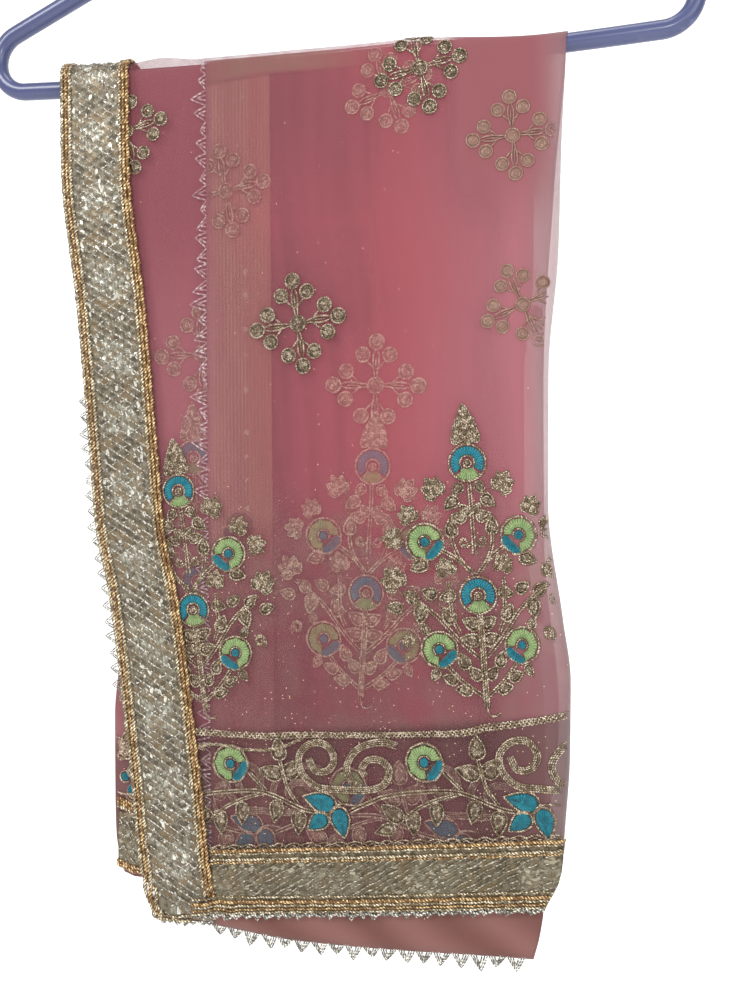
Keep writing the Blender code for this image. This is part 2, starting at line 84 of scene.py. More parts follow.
class Flow:
    # one shader socket; sums written on it become Math nodes

    def __init__(self, finish, socket):
        self.finish = finish
        self.socket = socket

    def sum(self, operation, first, second):
        return self.finish.node("ShaderNodeMath", {"operation": operation}, {0: first, 1: second})

    def __add__(self, other):
        return self.sum("ADD", self, other)

    def __radd__(self, other):
        return self.sum("ADD", other, self)

    def __sub__(self, other):
        return self.sum("SUBTRACT", self, other)

    def __rsub__(self, other):
        return self.sum("SUBTRACT", other, self)

    def __mul__(self, other):
        return self.sum("MULTIPLY", self, other)

    def __rmul__(self, other):
        return self.sum("MULTIPLY", other, self)

    def __lt__(self, other):
        return self.sum("LESS_THAN", self, other)

    def __gt__(self, other):
        return self.sum("GREATER_THAN", self, other)


class Finish:
    # a Principled material: constants go straight on its sockets, patterns come through node()

    def __init__(self, name, colour, roughness=0.5, metallic=0.0, **constants):
        self.material = bpy.data.materials.new(name)
        self.material.use_nodes = True
        self.tree = self.material.node_tree
        self.shader = self.tree.nodes["Principled BSDF"]
        self.material.diffuse_color = (*colour, 1.0)
        self.set("Base Color", (*colour, 1.0))
        self.set("Roughness", roughness)
        self.set("Metallic", metallic)
        for label, value in constants.items():
            self.set(label.replace("_", " ").title().replace("Ior", "IOR"), value)

    def put(self, socket, value):
        if isinstance(value, Flow):
            self.tree.links.new(value.socket, socket)
        elif isinstance(value, tuple) and len(value) == 3 and socket.type == "RGBA":
            socket.default_value = (*value, 1.0)
        else:
            socket.default_value = value

    def set(self, label, value):
        self.put(self.shader.inputs[label], value)

    def node(self, kind, settings=None, inputs=None, output=0):
        made = self.tree.nodes.new(kind)
        for label, value in (settings or {}).items():
            setattr(made, label, value)
        for key, value in (inputs or {}).items():
            self.put(made.inputs[key], value)
        return Flow(self, made.outputs[output])

    def cloth(self):
        # the piece's own map, in metres across and down the cloth
        return self.node("ShaderNodeUVMap", {"uv_map": "cloth"})

    def place(self):
        # a point in the piece's own space
        return self.node("ShaderNodeTexCoord", None, None, 3)

    def parts(self, vector, second=1):
        # the first number of a coordinate and its second one, or another
        split = self.node("ShaderNodeSeparateXYZ", None, {0: vector})
        return split, Flow(self, split.socket.node.outputs[second])

    def stretched(self, vector, stretch):
        if stretch is None:
            return vector
        return self.node("ShaderNodeVectorMath", {"operation": "MULTIPLY"}, {0: vector, 1: stretch})

    def noise(self, vector, scale, detail=2.0, stretch=None, space="2D"):
        return self.node("ShaderNodeTexNoise", {"noise_dimensions": space},
                         {"Vector": self.stretched(vector, stretch), "Scale": scale, "Detail": detail})

    def cells(self, vector, scale, stretch=None, space="2D"):
        # how far the nearest cell's middle is, and a number of the cell's own
        near = self.node("ShaderNodeTexVoronoi", {"voronoi_dimensions": space},
                         {"Vector": self.stretched(vector, stretch), "Scale": scale})
        colour = Flow(self, near.socket.node.outputs["Color"])
        return near, self.node("ShaderNodeSeparateColor", None, {0: colour})

    def wave(self, value, length):
        # a sine from 0 to 1 along a value, one turn in each length
        turned = self.node("ShaderNodeMath", {"operation": "SINE"}, {0: value * (fullTurn / length)})
        return turned * 0.5 + 0.5

    def ramp(self, value, low, high):
        # 0 at low, 1 at high, eased between
        return self.node("ShaderNodeMapRange", {"interpolation_type": "SMOOTHSTEP"},
                         {"Value": value, "From Min": low, "From Max": high})

    def mix(self, factor, first, second):
        return self.node("ShaderNodeMix", {"data_type": "RGBA"}, {0: factor, 6: first, 7: second}, 2)

    def bump(self, height, distance, strength=1.0):
        self.set("Normal", self.node("ShaderNodeBump", None,
                                     {"Height": height, "Distance": distance, "Strength": strength}))


# finishes

net = {
    "weave": 0.00042,    # from one net cell to the next
    "glintCells": 760.0, "glint": (0.70, 0.52, 0.34),
    # painted shade: the factor below darkens the sheer net's tones for the shade between the two sides of its
    # shell
    "shade": 0.90,    # how much darker the net's own tones are where it is sheer
    "low": (0.160, 0.056, 0.064), "dusk": (0.112, 0.052, 0.052), "haze": (0.34, 0.185, 0.170),
    "pale": (0.29, 0.148, 0.158), "foot": (0.224, 0.101, 0.088), "footFoldShade": (0.142, 0.056, 0.045),
    "roll": (0.27, 0.195, 0.130), "high": (0.245, 0.078, 0.088),
}
# How each ply's net looks. Open and close are its cover on the left and right of the closing, from 0 to 1.
netPlies = {
    "outer": {"rose": (0.41, 0.100, 0.124), "mauve": (0.275, 0.083, 0.100), "fair": (0.38, 0.140, 0.164),
              "open": 0.22, "close": 0.56, "closing": (0.102, 0.125),
              "dusk": 0.60, "pale": 1.0, "roll": 0.0, "high": 1.0, "end": 1.0},
    "inner": {"rose": (0.41, 0.104, 0.122), "mauve": (0.270, 0.080, 0.098), "fair": (0.38, 0.136, 0.158),
              "open": 0.30, "close": 0.74, "closing": (0.025, 0.090),
              "dusk": 0.75, "pale": 0.0, "roll": 0.8, "high": 0.0, "end": 1.0},
    "core": {"rose": (0.41, 0.100, 0.124), "mauve": (0.240, 0.068, 0.088), "fair": (0.37, 0.132, 0.154),
             "open": 1.0, "close": 1.0, "closing": (0.045, 0.075),
             "dusk": 0.75, "pale": 0.0, "roll": 0.0, "high": 0.0, "end": 1.0},
}


def netFinish(name, row):
    # the face that shows stands for both sides of its thin shell, and the hidden side is clear
    finish = Finish(name, row["rose"], 0.74, 0.0, sheen_weight=0.2, sheen_roughness=0.4,
                    specular_ior_level=0.2)
    cloth = finish.cloth()
    across, down = finish.parts(cloth)
    x, z = finish.parts(finish.place(), 2)
    fall = z * -1.0
    clouds = finish.noise(cloth, 9.0, 1.0)
    streaks = finish.noise(cloth, 1.0, 1.0, (120.0, 5.0, 1.0))
    mist = finish.noise(cloth, 55.0, 1.0)
    # darker on the left, rosier to the middle and paler towards the right edge
    tone = finish.ramp(clouds * 0.42 + streaks * 0.20 + x * 2.6, 0.16, 0.44)
    colour = finish.mix(tone, row["mauve"], row["rose"])
    colour = finish.mix(finish.ramp(x + clouds * 0.03, 0.058, 0.122) * 0.85, colour, row["fair"])
    end = finish.ramp(down, -0.030, 0.0) * row["end"]
    left = finish.ramp(x * -1.0, 0.030, 0.080) * finish.ramp(fall, 0.270, 0.370)
    colour = finish.mix(left * 0.50, colour, row["fair"])
    top = 1.0 - finish.ramp(fall, 0.215, 0.330)
    colour = finish.mix(top * (0.25 + finish.ramp(x, 0.040, 0.085) * 0.45), colour, row["mauve"])
    strip = finish.ramp(x, 0.112, 0.126) * row["pale"]
    colour = finish.mix(strip * 0.8, colour, net["pale"])
    # the lower half is hazed with hidden gold thread and duller, and the border below it is darker still:
    # partly painted shade and partly the stitched plies behind showing through
    hazy = finish.ramp(fall, 0.420, 0.500) * finish.ramp(mist, 0.34, 0.66) * end
    colour = finish.mix(hazy * 0.70, colour, net["haze"])
    low = finish.ramp(fall, 0.400, 0.550) * end
    colour = finish.mix(low * 0.56, colour, net["low"])
    border = fall + x * 0.10
    dusk = finish.ramp(border, 0.571, 0.579) * end
    colour = finish.mix(dusk * (finish.ramp(x, 0.030, 0.110) * 0.20 + row["dusk"]), colour, net["dusk"])
    foot = finish.ramp(border, 0.664, 0.668) * end
    # painted shade: darker slanting waves across the foot, for the folds there
    foldShade = finish.wave(x * 0.62 + z + clouds * 0.060, 0.038)
    colour = finish.mix(foot, colour, finish.mix(foldShade * 0.8, net["foot"], net["footFoldShade"]))
    # one ply near the bar's right end, as closed as the several beside it
    high = finish.ramp(x, 0.070, 0.088) * (1.0 - finish.ramp(x, 0.118, 0.136)) * row["high"]
    high = high * (1.0 - finish.ramp(fall, 0.245, 0.300))
    colour = finish.mix(high, colour, net["high"])
    uneven = clouds * 0.016
    crown = finish.ramp(z + uneven, -0.1990, -0.1940) * finish.ramp(x + uneven, -0.070, -0.042)
    crown = crown * (1.0 - finish.ramp(x, -0.010, 0.045)) * row["roll"]
    colour = finish.mix(crown, colour, net["roll"])
    spot, own = finish.cells(cloth, net["glintCells"])
    glint = (spot < 0.20) * (own > 0.9985 - hazy * (1.0 - foot) * 0.026)
    if row["open"] < 1.0:
        # painted shade: the sheer net's tones darkened by the shade factor
        colour = finish.node("ShaderNodeVectorMath", {"operation": "MULTIPLY"},
                             {0: colour, 1: (net["shade"],) * 3})
        closing = finish.ramp(x + clouds * 0.02, *row["closing"])
        cover = row["open"] + closing * (row["close"] - row["open"])
        cover = cover - strip * 0.06 + crown * 0.5 + low * strip * 0.25
        cover = cover + foot * (0.96 - cover)
        cover = cover + high * (0.90 - cover)
        thread = finish.wave(across, net["weave"]) * finish.wave(down, net["weave"])
        cover = cover + ((thread - 0.25) * 0.02 + (streaks - 0.5) * 0.16) * (1.0 - cover)
        bare = 1.0 - finish.node("ShaderNodeMath", {"operation": "MAXIMUM"}, {0: cover, 1: glint})
        finish.set("Alpha", 1.0 - bare * bare)
    finish.set("Base Color", finish.mix(glint, colour, net["glint"]))
    finish.set("Roughness", 0.74 - glint * 0.40)
    return finish.material


def threadFinish(name, dark, middle, bright, metallic, twist, grain, share, relief):
    # metal thread: slanting strands, with painted shade in their hollows and painted highlights in separate
    # short stretches
    finish = Finish(name, middle, 0.34, metallic)
    along, around = finish.parts(finish.cloth())
    strand = finish.wave(along + around * 0.7, twist)
    lit = strand * 0.46 + finish.cells(finish.place(), grain, None, "3D")[1] * 0.54
    # painted shade where the strands dip and painted highlights where they rise
    colour = finish.mix(finish.ramp(lit, 0.22, 0.52), dark, middle)
    colour = finish.mix(finish.ramp(lit, share - 0.07, share + 0.07), colour, bright)
    finish.set("Base Color", colour)
    finish.set("Roughness", 0.50 - finish.ramp(lit, 0.50, 0.86) * 0.26)
    finish.bump(strand, 0.00030, relief)
    return finish.material


def satinFinish(name, colour, bright):
    # rows of close silk stitches, laid across the map's second direction
    finish = Finish(name, colour, 0.55, 0.0, sheen_weight=0.08, sheen_roughness=0.35, specular_ior_level=0.3)
    stitched = finish.wave(finish.parts(finish.cloth())[1], 0.0013)
    uneven = finish.noise(finish.place(), 420.0, 2.0, None, "3D")
    # painted sheen: the stitch rows lighten the colour, and the uneven noise adds a random tone
    lit = finish.ramp(stitched * 0.40 + uneven * 0.80, 0.36, 0.82)
    finish.set("Base Color", finish.mix(lit, colour, bright))
    finish.bump(stitched + uneven * 1.2, 0.00036, 0.9)
    return finish.material


def laceFinish(name, dark, dull, silver, gold, bar=0.042, relief=0.6, bright=(0.74, 0.72, 0.64)):
    # woven metal gauze: mottled ground with silver blocks, fine crossing threads and flecks painted bright as
    # glints
    finish = Finish(name, dull, 0.46, 0.40)
    cloth = finish.cloth()
    across, down = finish.parts(cloth)
    blocks = finish.ramp(finish.wave(down + finish.noise(cloth, 18.0, 0.0) * 0.014, bar), 0.40, 0.62)
    middle = finish.ramp(across, 0.004, 0.008) * (1.0 - finish.ramp(across, 0.024, 0.028))
    upright = finish.wave(across, 0.0021) * blocks * middle
    mottle = finish.noise(cloth, 240.0)
    cell = finish.cells(cloth, 640.0, (1.0, 0.6, 1.0))[1]
    slanted = finish.wave(down - across * 0.62, 0.0052)
    other = finish.wave(down + across * 0.62, 0.0052)
    shine = mottle * 0.58 + blocks * middle * 0.10 + cell * 0.24 + upright * 0.10 + slanted * other * 0.16
    colour = finish.mix(finish.ramp(shine, 0.30, 0.54), dark, dull)
    colour = finish.mix(finish.ramp(shine, 0.54, 0.80), colour, silver)
    colour = finish.mix(finish.ramp(finish.noise(cloth, 110.0, 1.0), 0.50, 0.66) * 0.50, colour, gold)
    # painted glints: the brightest cells are coloured near white
    glintFleck = cell > 0.955
    finish.set("Base Color", finish.mix(glintFleck * 0.8, colour, bright))
    finish.set("Roughness", 0.50 - finish.ramp(shine, 0.5, 0.8) * 0.20 - glintFleck * 0.10)
    finish.bump(slanted + other + cell * 1.6, 0.00032, relief)
    return finish.material


def reverseLaceFinish():
    # the wrong side of the side lace: tan gauze with upright woven lines, more orange towards its inner half
    finish = Finish("reverseLace", (0.40, 0.29, 0.17), 0.6, 0.15)
    cloth = finish.cloth()
    across, down = finish.parts(cloth)
    lines = finish.wave(across + finish.noise(cloth, 12.0) * 0.0008, 0.0021)
    broken = finish.noise(cloth, 1.0, 2.0, (420.0, 60.0, 1.0))
    woven = finish.ramp(lines * 0.5 + broken * 0.6, 0.35, 0.80)
    colour = finish.mix(woven, (0.61, 0.36, 0.245), (0.80, 0.56, 0.395))
    colour = finish.mix(finish.ramp(across, 0.022, 0.027) * 0.5, colour, (0.72, 0.34, 0.20))
    selvage = 1.0 - finish.ramp(across, 0.0030, 0.0044)
    colour = finish.mix(selvage * 0.7, colour, (0.60, 0.38, 0.37))
    # painted glints: bright specks down one woven column
    glintColumn = finish.ramp(across, 0.0215, 0.0225) * (1.0 - finish.ramp(across, 0.0245, 0.0255))
    colour = finish.mix((finish.cells(cloth, 330.0)[1] > 0.90) * glintColumn, colour, (0.95, 0.85, 0.60))
    # its foot is hidden behind more plies of net
    hidden = finish.ramp(down + across * 0.6, 0.270, 0.320) * 0.85
    finish.set("Base Color", finish.mix(hidden, colour, (0.40, 0.135, 0.140)))
    finish.bump(lines + broken, 0.00025, 0.35)
    return finish.material


def plasticFinish():
    finish = Finish("hangerPlastic", (0.085, 0.100, 0.225), 0.34, 0.0, coat_weight=0.15, coat_roughness=0.15)
    place = finish.place()
    clouds = finish.noise(place, 26.0, 3.0, None, "3D")
    scuffs = finish.noise(place, 240.0, 4.0, (0.25, 1.0, 1.0), "3D")
    worn = finish.ramp(scuffs, 0.60, 0.78)
    colour = finish.mix(clouds, (0.048, 0.058, 0.144), (0.069, 0.082, 0.184))
    finish.set("Base Color", finish.mix(worn * 0.35, colour, (0.20, 0.225, 0.36)))
    finish.set("Roughness", 0.26 + clouds * 0.10 + worn * 0.18)
    finish.bump(clouds + scuffs * 0.4, 0.00012, 0.5)
    return finish.material


def stageFinish():
    finish = Finish("stagePaper", (0.92, 0.92, 0.92), 0.9, 0.0, specular_ior_level=0.1)
    finish.set("Emission Color", (1.0, 1.0, 1.0))
    finish.set("Emission Strength", 0.38)
    return finish.material


# Metal threads: dark, middle and bright tones (painted shade in the hollows, painted highlights on top),
# metallic, twist in metres, grain, share left dull, relief.
threads = {
    "zari": ((0.085, 0.056, 0.032), (0.225, 0.160, 0.095), (0.66, 0.58, 0.45),
             0.45, 0.0015, 760.0, 0.72, 0.6),
    "zariFill": ((0.058, 0.036, 0.022), (0.105, 0.068, 0.041), (0.42, 0.35, 0.25),
                 0.35, 0.0012, 760.0, 0.70, 0.6),
    "softZari": ((0.200, 0.120, 0.085), (0.360, 0.260, 0.180), (0.90, 0.78, 0.60),
                 0.30, 0.0015, 760.0, 0.72, 0.6),
    "softFill": ((0.190, 0.100, 0.075), (0.250, 0.145, 0.105), (0.60, 0.46, 0.34),
                 0.20, 0.0012, 760.0, 0.72, 0.5),
    "veiledZari": ((0.225, 0.120, 0.092), (0.258, 0.142, 0.106), (0.44, 0.30, 0.23),
                   0.05, 0.0015, 760.0, 0.78, 0.4),
    "veiledFill": ((0.205, 0.110, 0.080), (0.232, 0.126, 0.092), (0.34, 0.21, 0.16),
                   0.05, 0.0012, 760.0, 0.80, 0.3),
    "gotaThread": ((0.19, 0.165, 0.120), (0.34, 0.315, 0.250), (0.94, 0.92, 0.83),
                   0.5, 0.0024, 560.0, 0.66, 0.7),
    "gotaEndThread": ((0.14, 0.115, 0.075), (0.24, 0.21, 0.150), (0.66, 0.62, 0.50),
                      0.4, 0.0024, 560.0, 0.68, 0.5),
    "dori": ((0.115, 0.058, 0.020), (0.240, 0.128, 0.048), (0.82, 0.60, 0.31),
             0.5, 0.0019, 640.0, 0.70, 0.7),
    "doriPale": ((0.125, 0.088, 0.045), (0.245, 0.180, 0.102), (0.84, 0.76, 0.57),
                 0.5, 0.0019, 640.0, 0.68, 0.7),
    "picotSilver": ((0.10, 0.095, 0.078), (0.26, 0.245, 0.205), (0.85, 0.82, 0.74),
                    0.45, 0.0020, 640.0, 0.70, 1.0),
    "picotWhite": ((0.40, 0.27, 0.28), (0.50, 0.40, 0.41), (1.0, 0.98, 0.98),
                   0.2, 0.0034, 420.0, 0.66, 1.0),
}
finishes = {name: threadFinish(name, *row) for name, row in threads.items()}
finishes.update({
    "outerNet": netFinish("outerNet", netPlies["outer"]),
    "innerNet": netFinish("innerNet", netPlies["inner"]),
    "netInside": Finish("netInside", (0.41, 0.100, 0.124), 0.74, alpha=0.0).material,
    "coreNet": netFinish("coreNet", netPlies["core"]),
    "hiddenNet": netFinish("hiddenNet", {**netPlies["core"], "end": 0.0}),
    "teal": satinFinish("teal", (0.003, 0.075, 0.110), (0.010, 0.200, 0.250)),
    "green": satinFinish("green", (0.105, 0.175, 0.062), (0.270, 0.350, 0.150)),
    "gota": laceFinish("gota", (0.078, 0.062, 0.040), (0.180, 0.151, 0.106), (0.36, 0.365, 0.31),
                       (0.22, 0.150, 0.075)),
    "gotaEnd": laceFinish("gotaEnd", (0.074, 0.057, 0.031), (0.142, 0.113, 0.069), (0.23, 0.21, 0.148),
                          (0.17, 0.113, 0.049), 0.060, 0.35, (0.36, 0.32, 0.23)),
    "reverseLace": reverseLaceFinish(),
    "plastic": plasticFinish(),
})
print("finishes made:", len(finishes))


# how the cloth hangs

hang = {
    "barRadius": 0.005, "barDrop": 0.195, "barSag": 0.0045, "halfWidth": 0.2054, "endRadius": 0.0185,
    "seam": 0.0003, "plyGap": 0.0005, "ply": 0.0010, "secondThickness": 0.0015, "thirdThickness": 0.0011,
    "backThickness": 0.0046, "stack": 0.0060, "closing": 0.0020, "closingFall": 0.450,
    "filling": (0.045, 0.130), "fillingFall": 0.160, "turnWidth": 0.0080, "turnDepth": 0.0050,
    "halfFoldRadius": 0.0026, "halfFoldReturn": 0.0030, "foldFade": 0.15, "creaseFade": 0.25,
    "dropScale": 0.47,
}
onBar = hang["barRadius"] + hang["seam"]
otherDrop = {"front": "back", "back": "front"}

# Side of the bar, stand-off from its centre, edges as (fall, x) and bottom as (share across, z).
# Fall is -1 at the top of the crown, 0 level with the bar's centre and 1 at the bottom edge.
sheets = {
    "front": {
        "side": -1, "standOff": onBar + hang["stack"],
        "left": [(-1, -0.1590), (0, -0.1568), (0.11, -0.1560), (0.27, -0.1463), (0.46, -0.1379),
                 (0.54, -0.1345), (0.62, -0.1262), (0.83, -0.1128), (0.965, -0.1052), (1, -0.0985)],
        "right": [(-1, 0.1385), (0, 0.1377), (0.13, 0.1346), (0.25, 0.1331), (0.39, 0.1280), (0.54, 0.1277),
                  (0.68, 0.1356), (0.75, 0.1396), (0.84, 0.1392), (0.91, 0.1371), (0.975, 0.1344),
                  (1, 0.1300)],
        "bottom": [(0, -0.6850), (0.04, -0.6885), (0.16, -0.6880), (0.22, -0.6750), (1, -0.6565)],
    },
    "inner": {
        "side": -1, "standOff": onBar + hang["stack"] - hang["ply"] - hang["plyGap"],
        "left": [(-1, -0.0670), (0, -0.0668), (1, -0.0638)],
        "right": [(-1, 0.1030), (0, 0.1030), (0.13, 0.1205), (0.25, 0.1205), (0.37, 0.1155), (0.5, 0.1155),
                  (0.66, 0.1230), (0.75, 0.1265), (0.94, 0.1260), (0.975, 0.1237), (1, 0.1204)],
        "bottom": [(0, -0.6900), (0.3, -0.6945), (1, -0.6920)],
    },
    "second": {
        "side": -1, "standOff": onBar + hang["thirdThickness"] + hang["plyGap"],
        "left": [(-1, -0.1470), (0, -0.1460), (0.35, -0.1320), (0.6, -0.1210), (0.72, -0.1215),
                 (0.8, -0.1250), (0.9, -0.1248), (0.955, -0.1240), (1, -0.1190)],
        "right": [(-1, 0.0710), (0, 0.0720), (0.15, 0.1150), (0.37, 0.1110), (0.55, 0.1120), (1, 0.1160)],
        "bottom": [(0, -0.6640), (0.03, -0.6665), (1, -0.6680)],
    },
    "third": {
        "side": -1, "standOff": onBar,
        "left": [(-1, -0.1420), (0, -0.1410), (0.6, -0.1160), (1, -0.1120)],
        "right": [(-1, 0.0420), (0, 0.0430), (0.15, 0.1050), (1, 0.1060)],
        "bottom": [(0, -0.6500), (1, -0.6550)],
    },
    "back": {
        "side": 1, "standOff": onBar + hang["stack"],
        "left": [(-1, -0.1590), (0, -0.1568), (0.5, -0.1310), (1, -0.1110)],
        "right": [(-1, 0.1385), (0, 0.1370), (0.15, 0.1310), (0.4, 0.1245), (0.6, 0.1250), (0.8, 0.1330),
                  (1, 0.1220)],
        "bottom": [(0, -0.6440), (0.3, -0.6500), (1, -0.6540)],
    },
    "backFolds": {
        "side": 1, "standOff": onBar,
        "left": [(-1, -0.1450), (0, -0.1440), (0.5, -0.1230), (1, -0.1040)],
        "right": [(-1, 0.0560), (0, 0.0580), (0.15, 0.1120), (0.3, 0.1140), (1, 0.1120)],
        "bottom": [(0, -0.6360), (1, -0.6440)],
    },
}

# Soft folds: centre at the top and at the bottom, half width, height, and where along the fall each begins
# and ends.
ridges = {
    "front": [(0.015, 0.045, 0.050, 0.0022, 0.10, 0.80), (0.085, 0.090, 0.045, 0.0028, 0.22, 0.98),
              (-0.070, -0.030, 0.055, 0.0016, 0.15, 0.90), (0.118, 0.115, 0.030, 0.0018, 0.05, 0.50)],
    "back": [(-0.050, -0.020, 0.055, 0.0024, 0.12, 0.85), (0.040, 0.055, 0.050, 0.0020, 0.30, 0.95),
             (0.095, 0.080, 0.045, 0.0028, 0.08, 0.70)],
}

# Creases: from one x and fall to another, half width and height; troughs are negative.
creases = {
    "front": [
        (0.097, 0.06, 0.040, 0.30, 0.0035, 0.0007), (0.060, 0.10, 0.018, 0.46, 0.0070, -0.0007),
        (0.030, 0.02, -0.012, 0.22, 0.0060, 0.0006), (0.118, 0.12, 0.104, 0.42, 0.0050, 0.0008),
        (0.126, 0.30, 0.118, 0.62, 0.0042, -0.0007), (0.121, 0.66, 0.133, 0.93, 0.0046, 0.0011),
        (0.112, 0.74, 0.124, 0.96, 0.0034, -0.0008), (-0.062, 0.08, -0.080, 0.42, 0.0060, -0.0006),
        (-0.020, 0.40, 0.020, 0.74, 0.0080, 0.0007), (-0.050, 0.62, 0.010, 0.82, 0.0050, -0.0006),
        (0.020, 0.80, 0.090, 0.87, 0.0030, 0.0005), (-0.045, 0.885, 0.060, 0.905, 0.0026, 0.0005),
        (-0.100, 0.02, -0.055, 0.10, 0.0040, 0.0006), (-0.110, 0.945, -0.066, 1.015, 0.0026, -0.0012),
        (-0.104, 0.968, -0.058, 1.020, 0.0020, 0.0012),
    ],
    "back": [
        (0.100, 0.05, 0.060, 0.36, 0.0045, 0.0008), (-0.090, 0.10, -0.060, 0.48, 0.0060, -0.0008),
        (0.010, 0.20, -0.025, 0.62, 0.0075, 0.0009), (0.085, 0.45, 0.105, 0.86, 0.0050, -0.0007),
        (-0.030, 0.70, 0.050, 0.94, 0.0042, 0.0007),
    ],
    "inner": [(-0.020, 0.90, 0.050, 0.985, 0.0050, -0.0006), (0.040, 0.92, 0.105, 0.99, 0.0046, -0.0006),
              (0.070, 0.90, 0.112, 0.96, 0.0030, -0.0005)],
}


def smooth(value):
    held = np.clip(value, 0.0, 1.0)
    return held * held * (3.0 - 2.0 * held)


def edgeAt(rows, fall):
    # a smooth curve through the rows with slopes limited so that it never bulges, straight on past both ends
    stations, places = np.array(rows, dtype=float).T
    pitch = np.diff(places) / np.diff(stations)
    before = np.append(pitch[0], pitch)
    after = np.append(pitch, pitch[-1])
    level = before * after <= 0.0
    slopes = np.where(level, 0.0, 2.0 * before * after / np.where(level, 1.0, before + after))
    span = np.clip(np.searchsorted(stations, fall) - 1, 0, len(rows) - 2)
    length = stations[span + 1] - stations[span]
    part = (fall - stations[span]) / length
    held = np.clip(part, 0.0, 1.0)
    rest = 1.0 - held
    curve = places[span] + (places[span + 1] - places[span]) * smooth(held)
    curve = curve + length * held * rest * (slopes[span] * rest - slopes[span + 1] * held)
    return curve + (part - held) * length * np.where(part > 1.0, slopes[span + 1], slopes[span])


def barHeight(x):
    across = np.clip(np.abs(x) / (hang["halfWidth"] - hang["endRadius"]), 0.0, 1.0)
    return -hang["barDrop"] - hang["barSag"] * (1.0 - across**2)


def shareAcross(name, x, fall):
    left = edgeAt(sheets[name]["left"], fall)
    return (x - left) / (edgeAt(sheets[name]["right"], fall) - left)


def bottomOf(name, x, fall):
    return edgeAt(sheets[name]["bottom"], shareAcross(name, x, fall))


def filling(x, fallen):
    # 1 where the stack has all its plies, falling to 0 at the crown's right-hand end
    start, end = hang["filling"]
    return 1.0 - smooth((x - start) / (end - start)) * (1.0 - smooth(fallen / hang["fillingFall"]))


def foldHeight(name, x, fall, fallen):
    # rounded ridges: a smooth hump across each fold's width, faded at both its ends
    out = 0.0
    for top, bottom, width, height, start, end in ridges[name]:
        hump = smooth(1.0 - np.abs(x - top - (bottom - top) * fall) / width)
        ends = smooth((fall - start) / hang["foldFade"]) * smooth((end - fall) / hang["foldFade"])
        out = out + height * hump * ends
    return out * smooth(fallen / hang["fillingFall"])


def creaseHeight(name, x, fall):
    # each crease is a bell across its line, strongest at its middle and gone at its ends
    out = np.zeros_like(x)
    for x0, fall0, x1, fall1, width, height in creases.get(name, []):
        run = np.array([x1 - x0, (fall1 - fall0) * hang["dropScale"]])
        reach = np.hypot(*run)
        away = np.stack([x - x0, (fall - fall0) * hang["dropScale"]], axis=-1)
        along = away @ run / reach**2
        aside = (away[..., 0] * run[1] - away[..., 1] * run[0]) / reach
        bell = np.exp(-((aside + 0.18 * width * np.sin(along * 9.0)) / width) ** 2)
        ends = smooth(along / hang["creaseFade"]) * smooth((1.0 - along) / hang["creaseFade"])
        out = out + height * bell * ends
    return out


def crownFold(name, x, fall):
    # the outer ply stands a little off the bar beside the lace, and the plies under it are rolled beyond that
    if name in otherDrop:
        loose = smooth(1.0 - np.abs(x + 0.096) / 0.026) * smooth(1.0 - np.abs(fall + 0.85) / 0.75) * 0.0024
        rolled = smooth((x + 0.078) / 0.012) * smooth((0.030 - x) / 0.050)
        return loose + rolled * smooth(1.0 - np.abs(fall + 0.45) / 0.50) * 0.0008
    if name == "inner":
        rolled = smooth((x + 0.072) / 0.006) * smooth((0.030 - x) / 0.050)
        return rolled * smooth(1.0 - np.abs(fall + 0.40) / 0.45) * 0.0009
    return 0.0 * x


def puckers(name, x, fall, left, drop):
    # small gathers where lace is sewn on: ripples along the seam that die away from it
    if name != "front":
        return np.zeros_like(x)
    down = drop * fall
    side = 0.00045 * np.sin(fullTurn * down / 0.0125 + 2.0 * np.sin(down / 0.037))
    side = side * np.exp(-np.clip(x - left - 0.044, 0.0, 1.0) / 0.009)
    end = 0.00055 * np.sin(fullTurn * x / 0.0115 + 2.2 * np.sin(x / 0.021))
    end = end * np.exp(-np.clip(drop * (1.0 - fall) - 0.028, 0.0, 1.0) / 0.010)
    return (side + end) * smooth((x - left - 0.040) / 0.008) * smooth(fall / 0.05)


def onSheet(name, x, fall):
    # inner face of a ply: round the crown while fall is under 0, then down the drop
    sheet = sheets[name]
    bar = barHeight(x)
    drop = bar - bottomOf(name, x, fall)
    fallen = np.maximum(fall, 0.0) * drop
    standOff = sheet["standOff"] - hang["stack"] * (1.0 - filling(x, fallen))
    shift = 0.0 if sheet["side"] < 0 else 1.7
    wave = 0.0004 * np.sin(fullTurn * x / 0.15 + shift)
    wave = wave + 0.0003 * np.sin(fullTurn * (x / 0.24 - fallen / 0.55) + 2.0 * shift)
    out = standOff - hang["closing"] * smooth(fallen / hang["closingFall"]) + wave * smooth(fallen / 0.12)
    if name in ridges:
        right = edgeAt(sheet["right"], fall)
        inward = np.clip((x - right + hang["turnWidth"]) / hang["turnWidth"], 0.0, 1.0)
        turn = hang["turnDepth"] * (1.0 - np.sqrt(1.0 - inward**2 * 0.98))
        out = out + foldHeight(name, x, fall, fallen)
        out = out - turn * smooth((fallen - 0.02) / 0.06) * smooth((1.04 - fall) / 0.10)
    out = out + creaseHeight(name, x, fall)
    out = out + puckers(name, x, np.maximum(fall, 0.0), edgeAt(sheet["left"], fall), drop)
    standOff = standOff + crownFold(name, x, fall)
    angle = np.minimum(fall, 0.0) * math.pi / 2.0
    y = sheet["side"] * np.where(fall < 0.0, standOff * np.cos(angle), out)
    return np.stack([x, y, np.where(fall < 0.0, bar - standOff * np.sin(angle), bar - fallen)], axis=-1)


def unit(vectors):
    return vectors / np.maximum(np.linalg.norm(vectors, axis=-1, keepdims=True), 1e-12)


